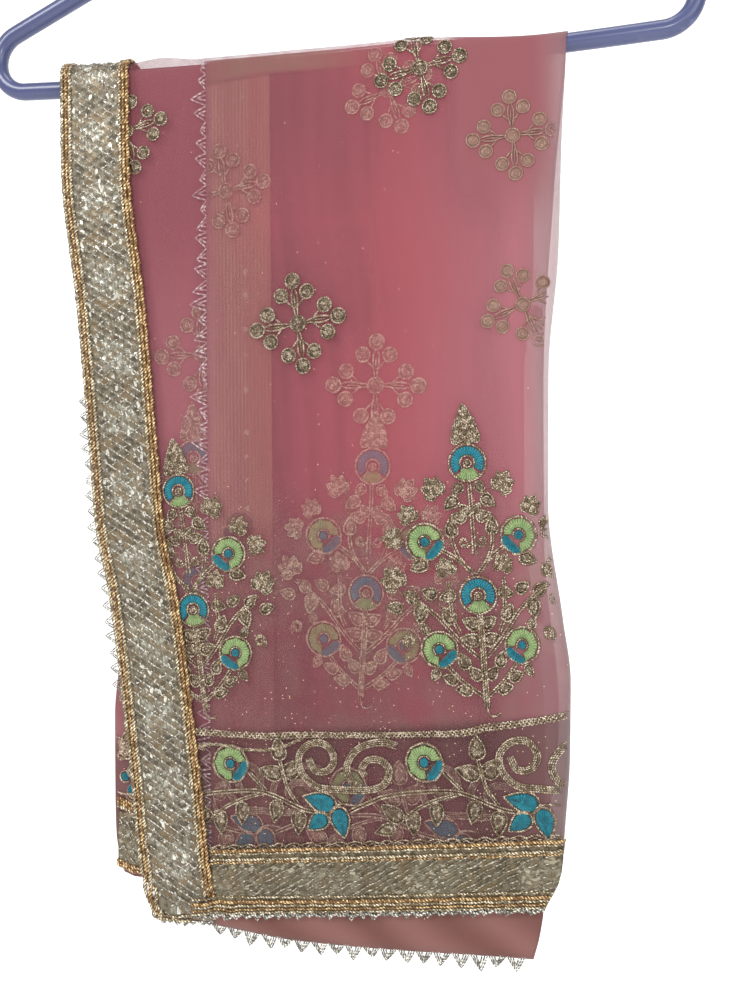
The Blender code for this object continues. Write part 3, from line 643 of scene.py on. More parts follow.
def frameOf(surface, name, x, down, step):
    # place and outward normal, the normal from the slopes across and down
    across = surface(name, x + step, down) - surface(name, x - step, down)
    along = surface(name, x, down + step) - surface(name, x, down - step)
    return surface(name, x, down), unit(np.cross(across, along) * sheets[name]["side"])


def dropLength(name, x, depth):
    # the drop at x, from the bar's centre to the bottom edge, read at the fall that the depth reaches
    bar = barHeight(x)
    length = np.full_like(x, 0.46)
    for _ in range(3):
        length = bar - bottomOf(name, x, np.clip(depth / length, 0.0, 1.0))
    return length


def quarterOf(name, x):
    # a quarter turn of the crown, which is what a fall of 1 above the bar measures
    return (sheets[name]["standOff"] - hang["stack"] * (1.0 - filling(x, 0.0))) * math.pi / 2.0


def fallAt(name, x, depth, quarter):
    # the fall at a distance down the drop, or up and round the crown where the distance is negative
    return np.where(depth >= 0.0, depth / dropLength(name, x, np.maximum(depth, 0.0)),
                    np.clip(depth / quarter, -1.0, 0.0))


def onCloth(name, x, depth):
    # a point by its distance down the drop; above the bar it goes up and over the crown and down the far side
    x = np.asarray(x, dtype=float)
    depth = np.asarray(depth, dtype=float)
    quarter = quarterOf(name, x)
    near = onSheet(name, x, fallAt(name, x, depth, quarter))
    far = otherDrop.get(name)
    if far is None or not (depth < -quarter).any():
        return near
    beyond = onSheet(far, x, fallAt(far, x, -depth - 2.0 * quarter, quarter))
    return np.where((depth < -quarter)[..., None], beyond, near)


def clothFrame(name, x, depth):
    return frameOf(onCloth, name, x, depth, 0.0004)


def leftAt(name, depth):
    # the left edge at a depth, over the crown too
    x = np.full_like(depth, -0.14)
    far = otherDrop.get(name)
    for _ in range(4):
        quarter = quarterOf(name, x)
        near = edgeAt(sheets[name]["left"], fallAt(name, x, depth, quarter))
        if far:
            beyond = edgeAt(sheets[far]["left"], fallAt(far, near, -depth - 2.0 * quarter, quarter))
            near = np.where(depth < -quarter, beyond, near)
        x = near
    return x


def rightAt(name, depth):
    # the right edge at a depth down the drop
    x = np.full_like(depth, 0.13)
    for _ in range(3):
        x = edgeAt(sheets[name]["right"], depth / dropLength(name, x, depth))
    return x


# meshes from whole arrays

class Pile:
    # gathers swept rings into one mesh: a stack of rings is capped at both ends unless it closes on itself

    def __init__(self):
        self.points, self.loops, self.sizes, self.uvs, self.slots = [], [], [], [], []
        self.count = 0

    def faces(self, corners, uv, slot):
        # rows of faces, each with as many corners as the last-but-one length of its map
        sides = corners.shape[-1]
        self.loops.append(corners.reshape(-1))
        self.uvs.append(uv.reshape(-1, 2))
        self.sizes.append(np.full(corners.size // sides, sides))
        self.slots.append(np.full(corners.size // sides, slot))

    def add(self, rings, along, around, closed=False, slot=0):
        # rings is (pieces, rings, points round, 3); along and around are its map in metres
        many, rows, columns = rings.shape[:3]
        index = self.count + np.arange(many * rows * columns).reshape(many, rows, columns)
        steps = np.arange(rows if closed else rows - 1)
        turns = np.arange(columns)
        corners = ((0, 0), (1, 0), (1, 1), (0, 1))
        quads = np.stack([index[:, (steps + down) % rows][:, :, (turns + aside) % columns]
                          for down, aside in corners], -1)
        u = np.broadcast_to(along, (many, rows + 1))
        v = np.broadcast_to(around, (columns + 1,))
        uv = np.stack([np.stack([np.broadcast_to(u[:, steps + down, None], quads.shape[:3]),
                                 np.broadcast_to(v[turns + aside], quads.shape[:3])], -1)
                       for down, aside in corners], -2)
        self.points.append(rings.reshape(-1, 3))
        self.faces(quads, uv, slot)
        if not closed:
            caps = np.concatenate([index[:, 0], index[:, -1, ::-1]])
            self.faces(caps, np.zeros((caps.size, 2)), slot)
        self.count += many * rows * columns

    def piece(self, name, materials):
        return meshPiece(name, np.concatenate(self.points), np.concatenate(self.loops),
                         np.concatenate(self.sizes), np.concatenate(self.uvs), materials,
                         np.concatenate(self.slots))


def meshPiece(name, points, loops, sizes, uvs, materials, slots):
    mesh = bpy.data.meshes.new(name)
    mesh.vertices.add(len(points))
    mesh.vertices.foreach_set("co", points.astype(np.float32).reshape(-1))
    mesh.loops.add(len(loops))
    mesh.loops.foreach_set("vertex_index", loops.astype(np.int32))
    mesh.polygons.add(len(sizes))
    mesh.polygons.foreach_set("loop_start", np.append(0, np.cumsum(sizes)[:-1]).astype(np.int32))
    for material in materials:
        mesh.materials.append(material)
    mesh.polygons.foreach_set("material_index", slots.astype(np.int32))
    mesh.update(calc_edges=True)
    mesh.uv_layers.new(name="cloth").data.foreach_set("uv", uvs.astype(np.float32).reshape(-1))
    mesh.validate()
    mesh.shade_smooth()
    piece = bpy.data.objects.new(name, mesh)
    bpy.context.scene.collection.objects.link(piece)
    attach(piece, "root")
    return piece


def gridPiece(name, grid, uv, nodes, thickness, finish, other=None):
    # a sheet from a grid of points, made thick by Solidify; its second side may have a finish of its own
    rows, columns = grid.shape[:2]
    index = np.arange(rows * columns).reshape(rows, columns)
    quads = np.stack([index[:-1, :-1], index[1:, :-1], index[1:, 1:], index[:-1, 1:]], axis=-1).reshape(-1)
    count = len(quads) // 4
    chosen = [finishes[finish], finishes[other]] if other else [finishes[finish]]
    piece = meshPiece(name, grid.reshape(-1, 3), quads, np.full(count, 4), uv.reshape(-1, 2)[quads], chosen,
                      np.zeros(count))
    solid = piece.modifiers.new("thickness", "SOLIDIFY")
    solid.thickness = thickness
    solid.offset = 0.0
    solid.use_rim = True
    solid.use_even_offset = False
    solid.material_offset = len(chosen) - 1
    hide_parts(*nodes)
    return piece


def finishPile(pile, name, slots, nodes):
    piece = pile.piece(name, [finishes[finish] for finish in slots])
    if nodes:
        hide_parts(*nodes)
    return piece


def sweep(line, normal, wide, high, sides, closed, twist=None):
    # rings round lines of points: an oval lying on the cloth, its wide axis across the line
    if closed:
        ahead = np.roll(line, -1, axis=1) - np.roll(line, 1, axis=1)
    else:
        ahead = np.gradient(line, axis=1)
    aside = unit(np.cross(unit(ahead), normal))
    turns = np.arange(sides) * fullTurn / sides
    size = np.ones((*line.shape[:2], sides))
    if twist is not None:
        size = 1.0 + 0.30 * np.cos(2.0 * turns - twist[..., None])
    if not closed:
        size[:, [0, -1]] *= 0.6
    size = size[..., None]
    across = aside[:, :, None, :] * (np.cos(turns) * wide / 2.0)[:, None]
    upward = normal[:, :, None, :] * (np.sin(turns) * high / 2.0)[:, None]
    return line[:, :, None, :] + size * (across + upward)


def runOf(line, closed):
    # distance along each line, with one more step on the end
    steps = np.linalg.norm(np.diff(line, axis=1), axis=-1)
    last = np.linalg.norm(line[:, :1] - line[:, -1:], axis=-1) if closed else steps[:, -1:]
    return np.cumsum(np.concatenate([np.zeros((len(line), 1)), steps, last], axis=1), axis=1)


def addTube(pile, line, normal, width, high, sides, girth, closed=False, slot=0, twist=None, shift=0.0):
    # a swept line with its map: distance along it, and a set distance round it
    run = runOf(line, closed)
    turn = None if twist is None else run[:, :-1] * twist
    pile.add(sweep(line, normal, width, high, sides, closed, turn), run + shift,
             np.linspace(0.0, girth, sides + 1), closed, slot)


# stitching: flat designs in millimetres, laid on a ply

class Design:
    # cords are lines of couched thread as (points, width, closed)
    # pads are padded fillings as (outline, finish, height)

    def __init__(self):
        self.cords, self.pads = [], []

    def cord(self, line, width=1.0, closed=False):
        self.cords.append((np.array(line, dtype=float), width, closed))
        return self

    def curve(self, stops, count, width=1.2):
        return self.cord(curveLine(stops, count), width)

    def pad(self, outline, finish="zariFill", height=0.5):
        self.pads.append((outline, finish, height))
        return self

    def beside(self, line, shares, gap, width):
        # threads side by side, each its own share of a gap off the line
        ahead = unit(np.gradient(line, axis=0))
        aside = np.stack([-ahead[:, 1], ahead[:, 0]], axis=1) * gap
        for share in shares:
            self.cord(line + aside * share, width if abs(share) < 1.0 else 1.1)
        return self

    def pair(self, stops, count, gap=1.5, width=1.05):
        return self.beside(curveLine(stops, count), (0.5, -0.5), gap, width)

    def ribbon(self, stops, count):
        return self.beside(curveLine(stops, count), (-1.5, -0.5, 0.5, 1.5), 1.05, 0.85)

    def braid(self, line, strands, swing, pitch, width):
        # strands weaving about a line, each a part of a wave behind the last
        run = np.append(0.0, np.cumsum(np.linalg.norm(np.diff(line, axis=0), axis=1)))
        ahead = unit(np.gradient(line, axis=0))
        aside = np.stack([-ahead[:, 1], ahead[:, 0]], axis=1)
        for strand in range(strands):
            wave = swing * np.sin(run * fullTurn / pitch + strand * fullTurn / strands)
            self.cord(line + aside * wave[:, None], width)
        return self

    def squeeze(self, share):
        # narrower across, for a half that turns away round a fold
        self.cords = [(line * [share, 1.0], width, closed) for line, width, closed in self.cords]
        self.pads = [(outline * [share, 1.0], finish, height) for outline, finish, height in self.pads]
        return self

    def add(self, other, x=0.0, y=0.0, turn=0.0, size=1.0, flip=False):
        angle = math.radians(turn)
        spin = np.array([[math.cos(angle), math.sin(angle)], [-math.sin(angle), math.cos(angle)]]) * size
        if flip:
            spin = np.diag([-1.0, 1.0]) @ spin
        place = np.array([x, y])
        self.cords += [(line @ spin + place, width * size, closed) for line, width, closed in other.cords]
        for outline, finish, height in other.pads:
            moved = outline @ spin + place
            self.pads.append((moved[::-1] if flip else moved, finish, height * size))
        return self


def ringLine(radius, count=14, start=0.0, sweepTurn=360.0):
    # points round a circle, or round part of one when the turn is under 360 degrees
    angles = np.radians(start + sweepTurn * np.arange(count) / (count if sweepTurn >= 360.0 else count - 1))
    return radius * np.stack([np.cos(angles), np.sin(angles)], axis=1)


def leafLine(length, width, count, middle):
    # a drop, its point to the right: along by the cosine, across by sine times half-sine
    turn = np.arange(count) * fullTurn / count
    across = width / 1.54 * np.sin(turn) * np.sin(turn / 2.0)
    return np.stack([length / 2.0 * (1.0 + np.cos(turn)) - middle, across], axis=1)


def spiralLine(outer, inner, turns, count, start=0.0):
    # the radius falls evenly as the angle grows
    part = np.linspace(0.0, 1.0, count)
    angle = math.radians(start) + turns * fullTurn * part
    return (outer + (inner - outer) * part)[:, None] * np.stack([np.cos(angle), np.sin(angle)], axis=1)


def curveLine(stops, count):
    # a smooth line through a few stops, by cubic Hermite pieces with slopes from the neighbours
    stops = np.array(stops, dtype=float)
    slopes = np.gradient(stops, axis=0)
    at = np.linspace(0.0, len(stops) - 1.0, count)
    span = np.minimum(at.astype(int), len(stops) - 2)
    part = (at - span)[:, None]
    rest = 1.0 - part
    near, far = stops[span], stops[span + 1]
    return (near * (1.0 + 2.0 * part) * rest**2 + far * part**2 * (3.0 - 2.0 * part)
            + slopes[span] * part * rest**2 - slopes[span + 1] * part**2 * rest)


def coil(radius):
    # an outer ring and a spiral inside it, on a dark ground
    made = Design().pad(ringLine(radius * 0.90, 10), "zariFill", 0.22)
    made.cord(ringLine(radius * 0.90), 1.10, True)
    return made.cord(spiralLine(radius * 0.56, radius * 0.10, 1.4, 11), 0.95)


def leaf(length=8.6, width=6.2):
    # outline and inner loop about the leaf's middle, its point to the right
    made = Design().pad(leafLine(length * 0.90, width * 0.86, 9, length * 0.45), "zariFill", 0.22)
    made.cord(leafLine(length, width, 12, length * 0.50), 1.02, True)
    return made.cord(leafLine(length * 0.56, width * 0.48, 8, length * 0.32), 0.85, True)


def bunch():
    # six small leaves: one at the tip, pairs down both sides and one in the middle
    made = Design()
    for x, y, turn in ((0, 5.2, 90), (-3.7, 2.6, 122), (3.7, 2.6, 58), (-4.1, -1.9, 150), (4.1, -1.9, 30),
                       (0, -0.6, 90)):
        made.add(leaf(6.6, 5.0), x, y, turn)
    return made


def hook():
    # a leaf drawn as one curling thread
    line = spiralLine(5.0, 1.2, 1.30, 15, -70.0) * [0.85, 1.05]
    return Design().cord(line, 1.25).cord(line * 0.70, 1.1)


def buti():
    # four arms of three coils round a middle one
    made = Design().add(coil(4.9))
    for turn in (0.0, 90.0, 180.0, 270.0):
        arm = Design().cord([[4.4, 0.6], [8, 1], [12, 1.8], [16.4, 1.6], [19.8, 0.6]], 1.25)
        arm.cord([[4.4, -0.6], [8, -0.8], [12, -1.6], [16.4, -1.7], [19.8, -0.6]], 1.25)
        arm.cord([[8.4, 0.2], [12, 0.2], [16, 0]], 1.2)
        for side in (1.0, -1.0):
            arm.cord(np.array([[9.0, 1.0], [11.5, 3.4], [13.5, 5.2]]) * [1.0, side], 1.2)
        arm.add(coil(4.7), 24.2, 0.0, 15.0).add(coil(4.5), 17.0, 7.7, 80.0).add(coil(4.5), 17.0, -7.7, -60.0)
        made.add(arm, turn=turn)
    return made


def archFlower():
    # a teal horseshoe over a green foot, with a gold coil under the arch
    made = Design().pad(np.concatenate([ringLine(9.7, 15, -36.0, 252.0),
                                        ringLine(4.9, 15, -36.0, 252.0)[::-1]]), "teal", 1.0)
    foot = ringLine(10.2, 9, 231.0, 78.0) * (1.0 + 0.04 * np.cos(np.arange(9) * math.pi))[:, None]
    made.pad(np.concatenate([foot, ringLine(3.6, 9, 231.0, 78.0)[::-1]]), "green", 0.9)
    made.cord(ringLine(10.9, 20), 1.4, True).cord(ringLine(4.3, 12, -42.0, 264.0), 1.25)
    for side in (-1.0, 1.0):
        made.cord(np.array([[2.9, -3.1], [5.2, -6.0], [7.6, -7.9]]) * [side, 1.0], 1.1)
    return made.add(coil(2.5), 0.0, -0.4)


def ringFlower():
    # a scalloped pale green ring with one teal petal at its foot and a teal eye
    outer = ringLine(9.1, 22, 6.0, 262.0) * (1.0 + 0.05 * np.cos(np.arange(22) * math.pi * 0.62))[:, None]
    made = Design().pad(np.concatenate([outer, ringLine(4.2, 22, 6.0, 262.0)[::-1]]), "green", 1.05)
    petal = np.array([[1.6, -10.2], [4.6, -10.0], [8.0, -6.6], [10.4, -2.6], [10.2, 0.4], [7.6, 0.6],
                      [5.6, -1.6], [3.4, -4.2], [1.0, -6.4], [0.2, -8.6]])
    made.pad(petal, "teal", 1.2).pad(ringLine(2.5, 8), "teal", 1.1)
    made.cord(ringLine(10.3, 20) * [1.0, 1.03], 1.4, True).cord(ringLine(3.5, 10, 20.0, 290.0), 1.05)
    return made.cord(petal * 1.04, 1.0, True)


def cone():
    # a bud of overlapping scales, narrowing upwards
    made = Design()
    for height, places in ((0, (-6.4, -2.2, 2.2, 6.4)), (4.6, (-5.4, 0, 5.4)), (9, (-3.6, 0.8, 4.2)),
                           (13.2, (-1.6, 2.2)), (17, (0,))):
        for place in places:
            made.add(leaf(6.6, 4.8), place, height, 90.0 - place * 4.0)
    return made


def curl():
    line = spiralLine(3.9, 1.0, 1.05, 13, 180.0)
    return Design().cord(np.concatenate([[[-3.4, -7.5], [-4.2, -4.0]], line]), 1.15).cord(line * 0.62, 1.0)


# Right half of the tree, in millimetres from its foot: kind, across, up, turn and size.
butaHalf = [
    ("bunch", 19.5, 125.5, -32, 0.95), ("leaf", 10.7, 117.2, -38, 1.12), ("leaf", 6.6, 124.6, -52, 0.95),
    ("leaf", 7.2, 108.3, 14, 1.05), ("leaf", 3.4, 112.8, 52, 0.90), ("leaf", 11.6, 101.8, 84, 1.20),
    ("curl", 5.0, 93.4, 0, 1.0), ("ring", 26.8, 94.8, -95, 0.98), ("bunch", 34.7, 111.5, -28, 0.82),
    ("bunch", 43.6, 98.0, -84, 0.86), ("leaf", 31.0, 81.8, -22, 1.20), ("bunch", 45.4, 74.5, -34, 1.02),
    ("leaf", 37.0, 65.4, 40, 1.08), ("leaf", 46.6, 60.0, 10, 1.08), ("leaf", 32.2, 55.4, -80, 1.30),
    ("bunch", 16.2, 79.5, -18, 0.84), ("leaf", 26.6, 66.8, 24, 1.05), ("leaf", 16.8, 64.4, -14, 1.08),
    ("leaf", 17.0, 54.0, 62, 1.22), ("leaf", 5.0, 49.2, 28, 1.20), ("leaf", 6.2, 40.2, 16, 1.22),
    ("ring", 23.5, 35.8, -88, 0.95), ("hook", 39.6, 41.0, 10, 0.95), ("leaf", 10.6, 29.0, 66, 1.10),
    ("leaf", 18.6, 19.6, 20, 1.05), ("leaf", 5.0, 22.0, 48, 1.05), ("leaf", 11.6, 13.4, 8, 1.10),
    ("leaf", 26.8, 22.0, -60, 0.85), ("leaf", 30.6, 47.6, 70, 0.80),
]
butaBranches = [
    [(0.8, 75), (5, 80), (12, 86), (18.5, 90)],
    [(2, 76), (8, 84), (11, 92), (11.4, 98)],
    [(1.6, 30), (9, 37), (16, 45), (24, 55), (33, 62), (42, 68)],
    [(11, 44), (14.5, 52), (15.5, 64), (16, 73)],
    [(0.8, 9), (6, 13), (13, 19), (20, 27)],
]


def buta(rightShare=1.0):
    # a tall flowering tree, drawn as one half and its mirror image about the stem
    half = Design()
    shapes = {"bunch": bunch(), "leaf": leaf(), "ring": ringFlower(), "curl": curl(), "hook": hook()}
    for kind, across, up, turn, size in butaHalf:
        half.add(shapes[kind], across, up - 2.8 * float(smooth((up - 95.0) / 25.0)), turn, size)
    for stops in butaBranches:
        half.pair(stops, 10, 1.5, 1.1)
    made = Design().add(half, flip=True).add(half.squeeze(rightShare))
    made.pair([(0, 128), (0.2, 112), (0, 97), (0, 86)], 12, 1.5, 1.1)
    made.pair([(0, 54), (0.3, 40), (0, 20), (0, 3)], 14, 2.4, 1.25)
    made.curve([(0, 54), (0.2, 30), (0, 3)], 12).curve([(0, 3), (1, -0.6), (4, -1.6), (7, 0.2)], 8)
    made.add(archFlower(), 0.0, 135.8, 0.0, 0.92).add(archFlower(), 0.0, 64.0, 0.0, 0.92)
    return made.add(cone(), 0.0, 149.2, 0.0, 0.92)




bandRepeat = 0.1128  # metres from one ring flower to the next


def bandUnit():
    # one repeat of the vine border, measured from its ring flower's middle
    made = Design().add(ringFlower(), 0.0, 0.0, 5.0, 1.0)
    made.pair([(10.4, -4.6), (15.0, -9.6), (20.5, -15.6)], 6, 1.4)
    # the sprig: three leaves on one stem
    made.add(leaf(13.6, 9.0), 29.4, 8.3, 92.0).add(leaf(14.0, 9.2), 23.6, -5.2, 164.0)
    made.add(leaf(13.4, 9.8), 37.0, -3.2, 48.0)
    made.pair([(29.6, 1.6), (31.4, -6.8), (33.4, -14.6), (39.0, -23.2)], 9, 1.3)
    # the scroll: a spiral that runs on under the second one, which opens out towards the next flower
    made.ribbon([(46.7, 2.8), (50.5, -4.4), (58.0, -4.0), (61.6, 3.0), (57.0, 10.2), (48.0, 10.8),
                 (41.2, 3.8),
                 (42.6, -6.0), (51.1, -13.6), (64.0, -15.0), (78.0, -15.4), (88.5, -12.8), (92.8, -5.0),
                 (88.8, 0.8), (81.5, 1.4), (77.2, -3.4), (79.0, -8.0)], 66)
    made.ribbon([(98.0, 9.0), (90.0, 11.2), (81.0, 10.0), (73.2, 5.6), (68.6, -2.6), (70.8, -10.4),
                 (76.0, -14.0)], 24)
    # the vine, its lower branch and the hanging leaves
    made.pair([(-44.0, -27.0), (-33.0, -22.4), (-24.0, -19.0), (-7.0, -16.6), (13.0, -15.6), (24.5, -18.2),
               (35.6, -23.4), (45.6, -26.8), (57.0, -27.6)], 40, 1.6, 1.15)
    made.pair([(-13.3, -32.2), (-6.7, -26.2), (1.0, -22.2), (9.0, -19.4), (19.0, -17.0)], 14, 1.3)
    for x, y, turn, length, width in ((-20.0, -27.8, 142.0, 15.0, 9.0), (-24.4, -37.4, 194.0, 12.0, 7.2),
                                      (-8.3, -33.6, -90.0, 14.0, 8.6), (5.0, -28.6, -95.0, 13.2, 8.0),
                                      (25.6, -27.2, -106.0, 13.0, 8.4), (38.6, -33.4, -94.0, 14.0, 9.2)):
        made.add(leaf(length, width), x, y, turn)
    # blue petals
    for x, y, turn, length, width in ((51.6, -21.6, 163.0, 18.6, 10.4), (63.4, -33.4, -80.0, 16.6, 10.2),
                                      (49.6, -33.2, 216.0, 13.6, 9.4)):
        petal = Design().pad(leafLine(length * 0.94, width * 0.90, 11, length * 0.47), "teal", 1.1)
        petal.cord(leafLine(length * 1.08, width * 1.12, 15, length * 0.54), 1.2, True)
        made.add(petal, x, y, turn)
    return made.curve([(57.0, -27.0), (61.0, -24.0), (66.0, -23.0), (72.0, -24.0)], 7)


def railDesign():
    # the border's braided upper line, rising to the right, and the scalloped threads just over the end lace
    rail = [(-76.0, -578.8), (-65.0, -578.5), (-29.0, -578.6), (-11.0, -577.2), (32.0, -575.0),
            (80.0, -571.4), (95.0, -567.6), (116.0, -564.4), (142.0, -558.6)]
    lower = [(-76.0, -588.0), (-60.0, -585.0), (-42.0, -587.0), (-24.0, -585.6), (-8.0, -579.0)]
    made = Design().braid(curveLine(rail, 190), 3, 1.8, 7.0, 1.15).braid(curveLine(lower, 40), 2, 0.8, 6.0,
                                                                         1.1)
    x = np.linspace(-66.0, 138.0, 210)
    foot = -640.6 + x * 0.104
    for line, width in ((foot + 1.9 + 1.5 * np.abs(np.sin(x * math.pi / 9.0)), 1.15),
                        (foot + 1.3 + 0.9 * np.sin(x * fullTurn / 5.2), 1.1),
                        (foot + 0.2 + 0.5 * np.sin(x * fullTurn / 3.6), 1.1)):
        made.cord(np.stack([x, line], axis=1), width)
    return made


stitching = {
    "shift": 0.0037,  # so that the strands of threads side by side don't line up
    "finishes": ("zari", "zariFill", "teal", "green"),
    "soft": ("softZari", "softFill", "teal", "green"),
    "silk": ("teal", "green"),
}


def insideSheet(name, x, depth, margin):
    left = leftAt(name, depth) + margin[0]
    fall = np.clip(depth / dropLength(name, x, np.maximum(depth, 0.0)), -1.0, 1.0)
    return (x > left) & (x < edgeAt(sheets[name]["right"], fall) - margin[1])


def trimmed(cords, ply, margin):
    # cuts each thread where it leaves the ply, keeping its longest stretch inside
    every = np.concatenate([line for line, width, closed in cords])
    inside = insideSheet(ply, every[:, 0], barHeight(every[:, 0]) - every[:, 1], margin)
    kept = []
    at = 0
    for line, width, closed in cords:
        here = inside[at:at + len(line)]
        at += len(line)
        if here.all():
            kept.append((line, width, closed))
            continue
        if closed and here.any():
            shift = -int(np.flatnonzero(~here)[0])
            line, here = np.roll(line, shift, axis=0), np.roll(here, shift)
        ends = np.flatnonzero(np.diff(np.concatenate([[0], here.astype(int), [0]]))).reshape(-1, 2)
        if len(ends) and np.ptp(ends, axis=1).max() >= 3:
            first, last = ends[np.ptp(ends, axis=1).argmax()]
            kept.append((line[first:last], width, False))
    return kept


def windingOf(outline):
    after = np.roll(outline, -1, axis=0)
    return float((outline[:, 0] * after[:, 1] - outline[:, 1] * after[:, 0]).sum())


def addCords(pile, cords, ply, lift, sides):
    groups = {}
    for line, width, closed in cords:
        groups.setdefault((len(line), closed, round(width, 5)), []).append(line)
    for (_, closed, width), members in groups.items():
        flat = np.stack(members)
        place, normal = clothFrame(ply, flat[..., 0], barHeight(flat[..., 0]) - flat[..., 1])
        addTube(pile, place + normal * (lift + width * 0.30), normal, width, width * 0.7, sides, width * 3.0,
                closed, shift=stitching["shift"] * np.arange(len(flat))[:, None])


def addPads(pile, pads, ply, lift, margin):
    groups = {}
    for outline, finish, height in pads:
        groups.setdefault((len(outline), finish, round(height, 3)), []).append(outline * mm)
    for (count, finish, height), members in groups.items():
        flat = np.stack(members)
        silk = finish in stitching["silk"]
        shares = np.array([1.0, 1.0, 0.82, 0.45, 0.10]) if silk else np.array([1.0, 1.0, 0.3])
        heights = np.array([0.0, 0.55, 0.9, 1.0, 1.0]) if silk else np.array([0.0, 0.9, 1.0])
        # a crescent narrows towards its own middle line, any other shape towards its centre
        middle = (flat + flat[:, ::-1]) / 2.0 if silk and count >= 14 else flat.mean(axis=1, keepdims=True)
        layers = middle[:, None] + (flat[:, None] - middle[:, None]) * shares[None, :, None, None]
        x = layers[..., 0]
        depth = barHeight(x) - layers[..., 1]
        keep = insideSheet(ply, x, depth, margin).reshape(len(flat), -1).all(axis=1)
        if not keep.any():
            continue
        place, normal = clothFrame(ply, x[keep], depth[keep])
        rings = place + normal * (lift + (heights * height * mm)[None, :, None, None])
        edge = float(np.linalg.norm(np.diff(flat[0], axis=0), axis=1).sum())
        turned = np.array([windingOf(outline) > 0 for outline in flat[keep]])
        for way in (True, False):
            if (turned == way).any():
                chosen = rings[turned == way]
                pile.add(chosen[:, :, ::-1] if way else chosen, np.arange(len(shares) + 1) * 0.002,
                         np.linspace(0.0, edge, count + 1), False, stitching["finishes"].index(finish))


def stitch(name, ply, placed, lift, margin, sides=5, made=stitching["finishes"]):
    # lays designs on a ply: each is (design, x, z, turn, size)
    whole = Design()
    for design, x, z, turn, size in placed:
        whole.add(design, x / mm, z / mm, turn, size)
    pile = Pile()
    cords = [(line * mm, width * mm, closed) for line, width, closed in whole.cords]
    addCords(pile, trimmed(cords, ply, margin), ply, lift, sides)
    addPads(pile, whole.pads, ply, lift, margin)
    return finishPile(pile, name, made, [])


# cloth

cloth = {"thickness": 0.00025, "columns": 84, "rows": 112, "normalStep": 0.0006, "halfFoldRows": 9,
         "edgeInset": 0.0010}


def clothGrid(name, falls, columns):
    share = np.linspace(0.0, 1.0, columns)
    fall = np.repeat(falls[:, None], columns, axis=1)
    left = edgeAt(sheets[name]["left"], fall)
    x = left + (edgeAt(sheets[name]["right"], fall) - left) * share[None, :]
    place, normal = frameOf(onSheet, name, x, fall, cloth["normalStep"])
    run = np.where(fall < 0.0, fall * quarterOf(name, x), fall * (barHeight(x) - bottomOf(name, x, fall)))
    return place + normal * (hang["ply"] / 2.0), np.stack([x - left, run], axis=-1)


def fallRows(rows, crownRows):
    return np.concatenate([np.linspace(-1.0, 0.0, crownRows, endpoint=False), np.linspace(0.0, 1.0, rows)])


def outerCloth():
    # one ply from the half-fold at the back, over the crown, to the front's lower edge
    falls = fallRows(cloth["rows"], 12)
    front, frontMap = clothGrid("front", falls, cloth["columns"])
    back, backMap = clothGrid("back", falls, cloth["columns"])
    radius = hang["halfFoldRadius"] + hang["ply"] / 2.0
    turns = np.radians(np.linspace(0.0, 180.0, cloth["halfFoldRows"]))[1:]
    bend = np.stack([0.0 * turns, radius * (np.cos(turns) - 1.0), -radius * np.sin(turns)], -1)
    bend = bend[:, None] + back[-1][None]
    upward = np.linspace(0.0, hang["halfFoldReturn"], 3)[1:, None, None]
    rise = bend[-1][None] + np.array([0.0, 0.0, 1.0]) * upward
    grid = np.concatenate([rise[::-1], bend[::-1], back[::-1], front[1:]])
    backRun = 2.0 * frontMap[0, :, 1] - backMap[..., 1]
    extra = backRun[-1][None] - np.linspace(0.001, 0.011, len(bend) + len(rise))[:, None]
    run = np.concatenate([extra[::-1], backRun[::-1], frontMap[1:, :, 1]])
    across = np.concatenate([np.repeat(backMap[-1:, :, 0], len(extra), 0), backMap[::-1, :, 0],
                             frontMap[1:, :, 0]])
    return gridPiece("outerCloth", grid[::-1], np.stack([across, run], axis=-1)[::-1],
                     ["front_panel", "back_panel", "back_half_fold"], cloth["thickness"], "netInside",
                     "outerNet")


def innerPly():
    grid, uv = clothGrid("inner", fallRows(90, 8), 64)
    return gridPiece("innerCloth", grid[::-1], uv[::-1], ["inner_panel"], cloth["thickness"],
                     "netInside", "innerNet")


def stackPly(name, ply, thickness, plies, node, finish="coreNet", columns=44, rows=70):
    # a closed stack carried down the drop: its two faces, and edges grooved between one ply and the next
    falls = np.append(fallRows(rows, 8), [1.0])
    share = np.linspace(0.0, 1.0, columns)
    levels = np.linspace(0.0, 1.0, 4 * plies + 1)[1:-1]
    groove = -0.00045 * np.cos(levels * plies * fullTurn)
    edge = groove + 0.0009 * np.sqrt(np.maximum(0.0, 1.0 - (2.0 * levels - 1.0) ** 2))
    across = np.concatenate([share, np.ones(len(levels)), share[::-1], np.zeros(len(levels))])
    level = np.concatenate([np.zeros(columns), levels, np.ones(columns), levels[::-1]])
    proud = np.concatenate([np.zeros(columns), edge, np.zeros(columns), -edge[::-1]])
    fall = np.repeat(falls[:, None], len(across), axis=1)
    left = edgeAt(sheets[ply]["left"], fall) + cloth["edgeInset"]
    x = left + (edgeAt(sheets[ply]["right"], fall) - cloth["edgeInset"] - left) * across[None, :]
    place, normal = frameOf(onSheet, ply, x, fall, cloth["normalStep"])
    # the last ring is thinner, so that the foot is rounded
    thin = np.where(np.arange(len(falls)) == len(falls) - 1, 0.45, 1.0)[:, None]
    ring = place + normal * (thickness * (0.5 + (level[None, :] - 0.5) * thin))[..., None]
    ring[..., 0] += proud[None, :] * thin
    ring[-1, :, 2] -= 0.0004
    run = np.where(fall < 0.0, fall * quarterOf(ply, x), fall * 0.46)
    pile = Pile()
    rings = ring[None] if sheets[ply]["side"] > 0 else ring[None, :, ::-1]
    pile.add(rings, np.append(run[:, 0], run[-1, 0]), np.linspace(0.0, 0.5, len(across) + 1))
    return finishPile(pile, name, [finish], [node])


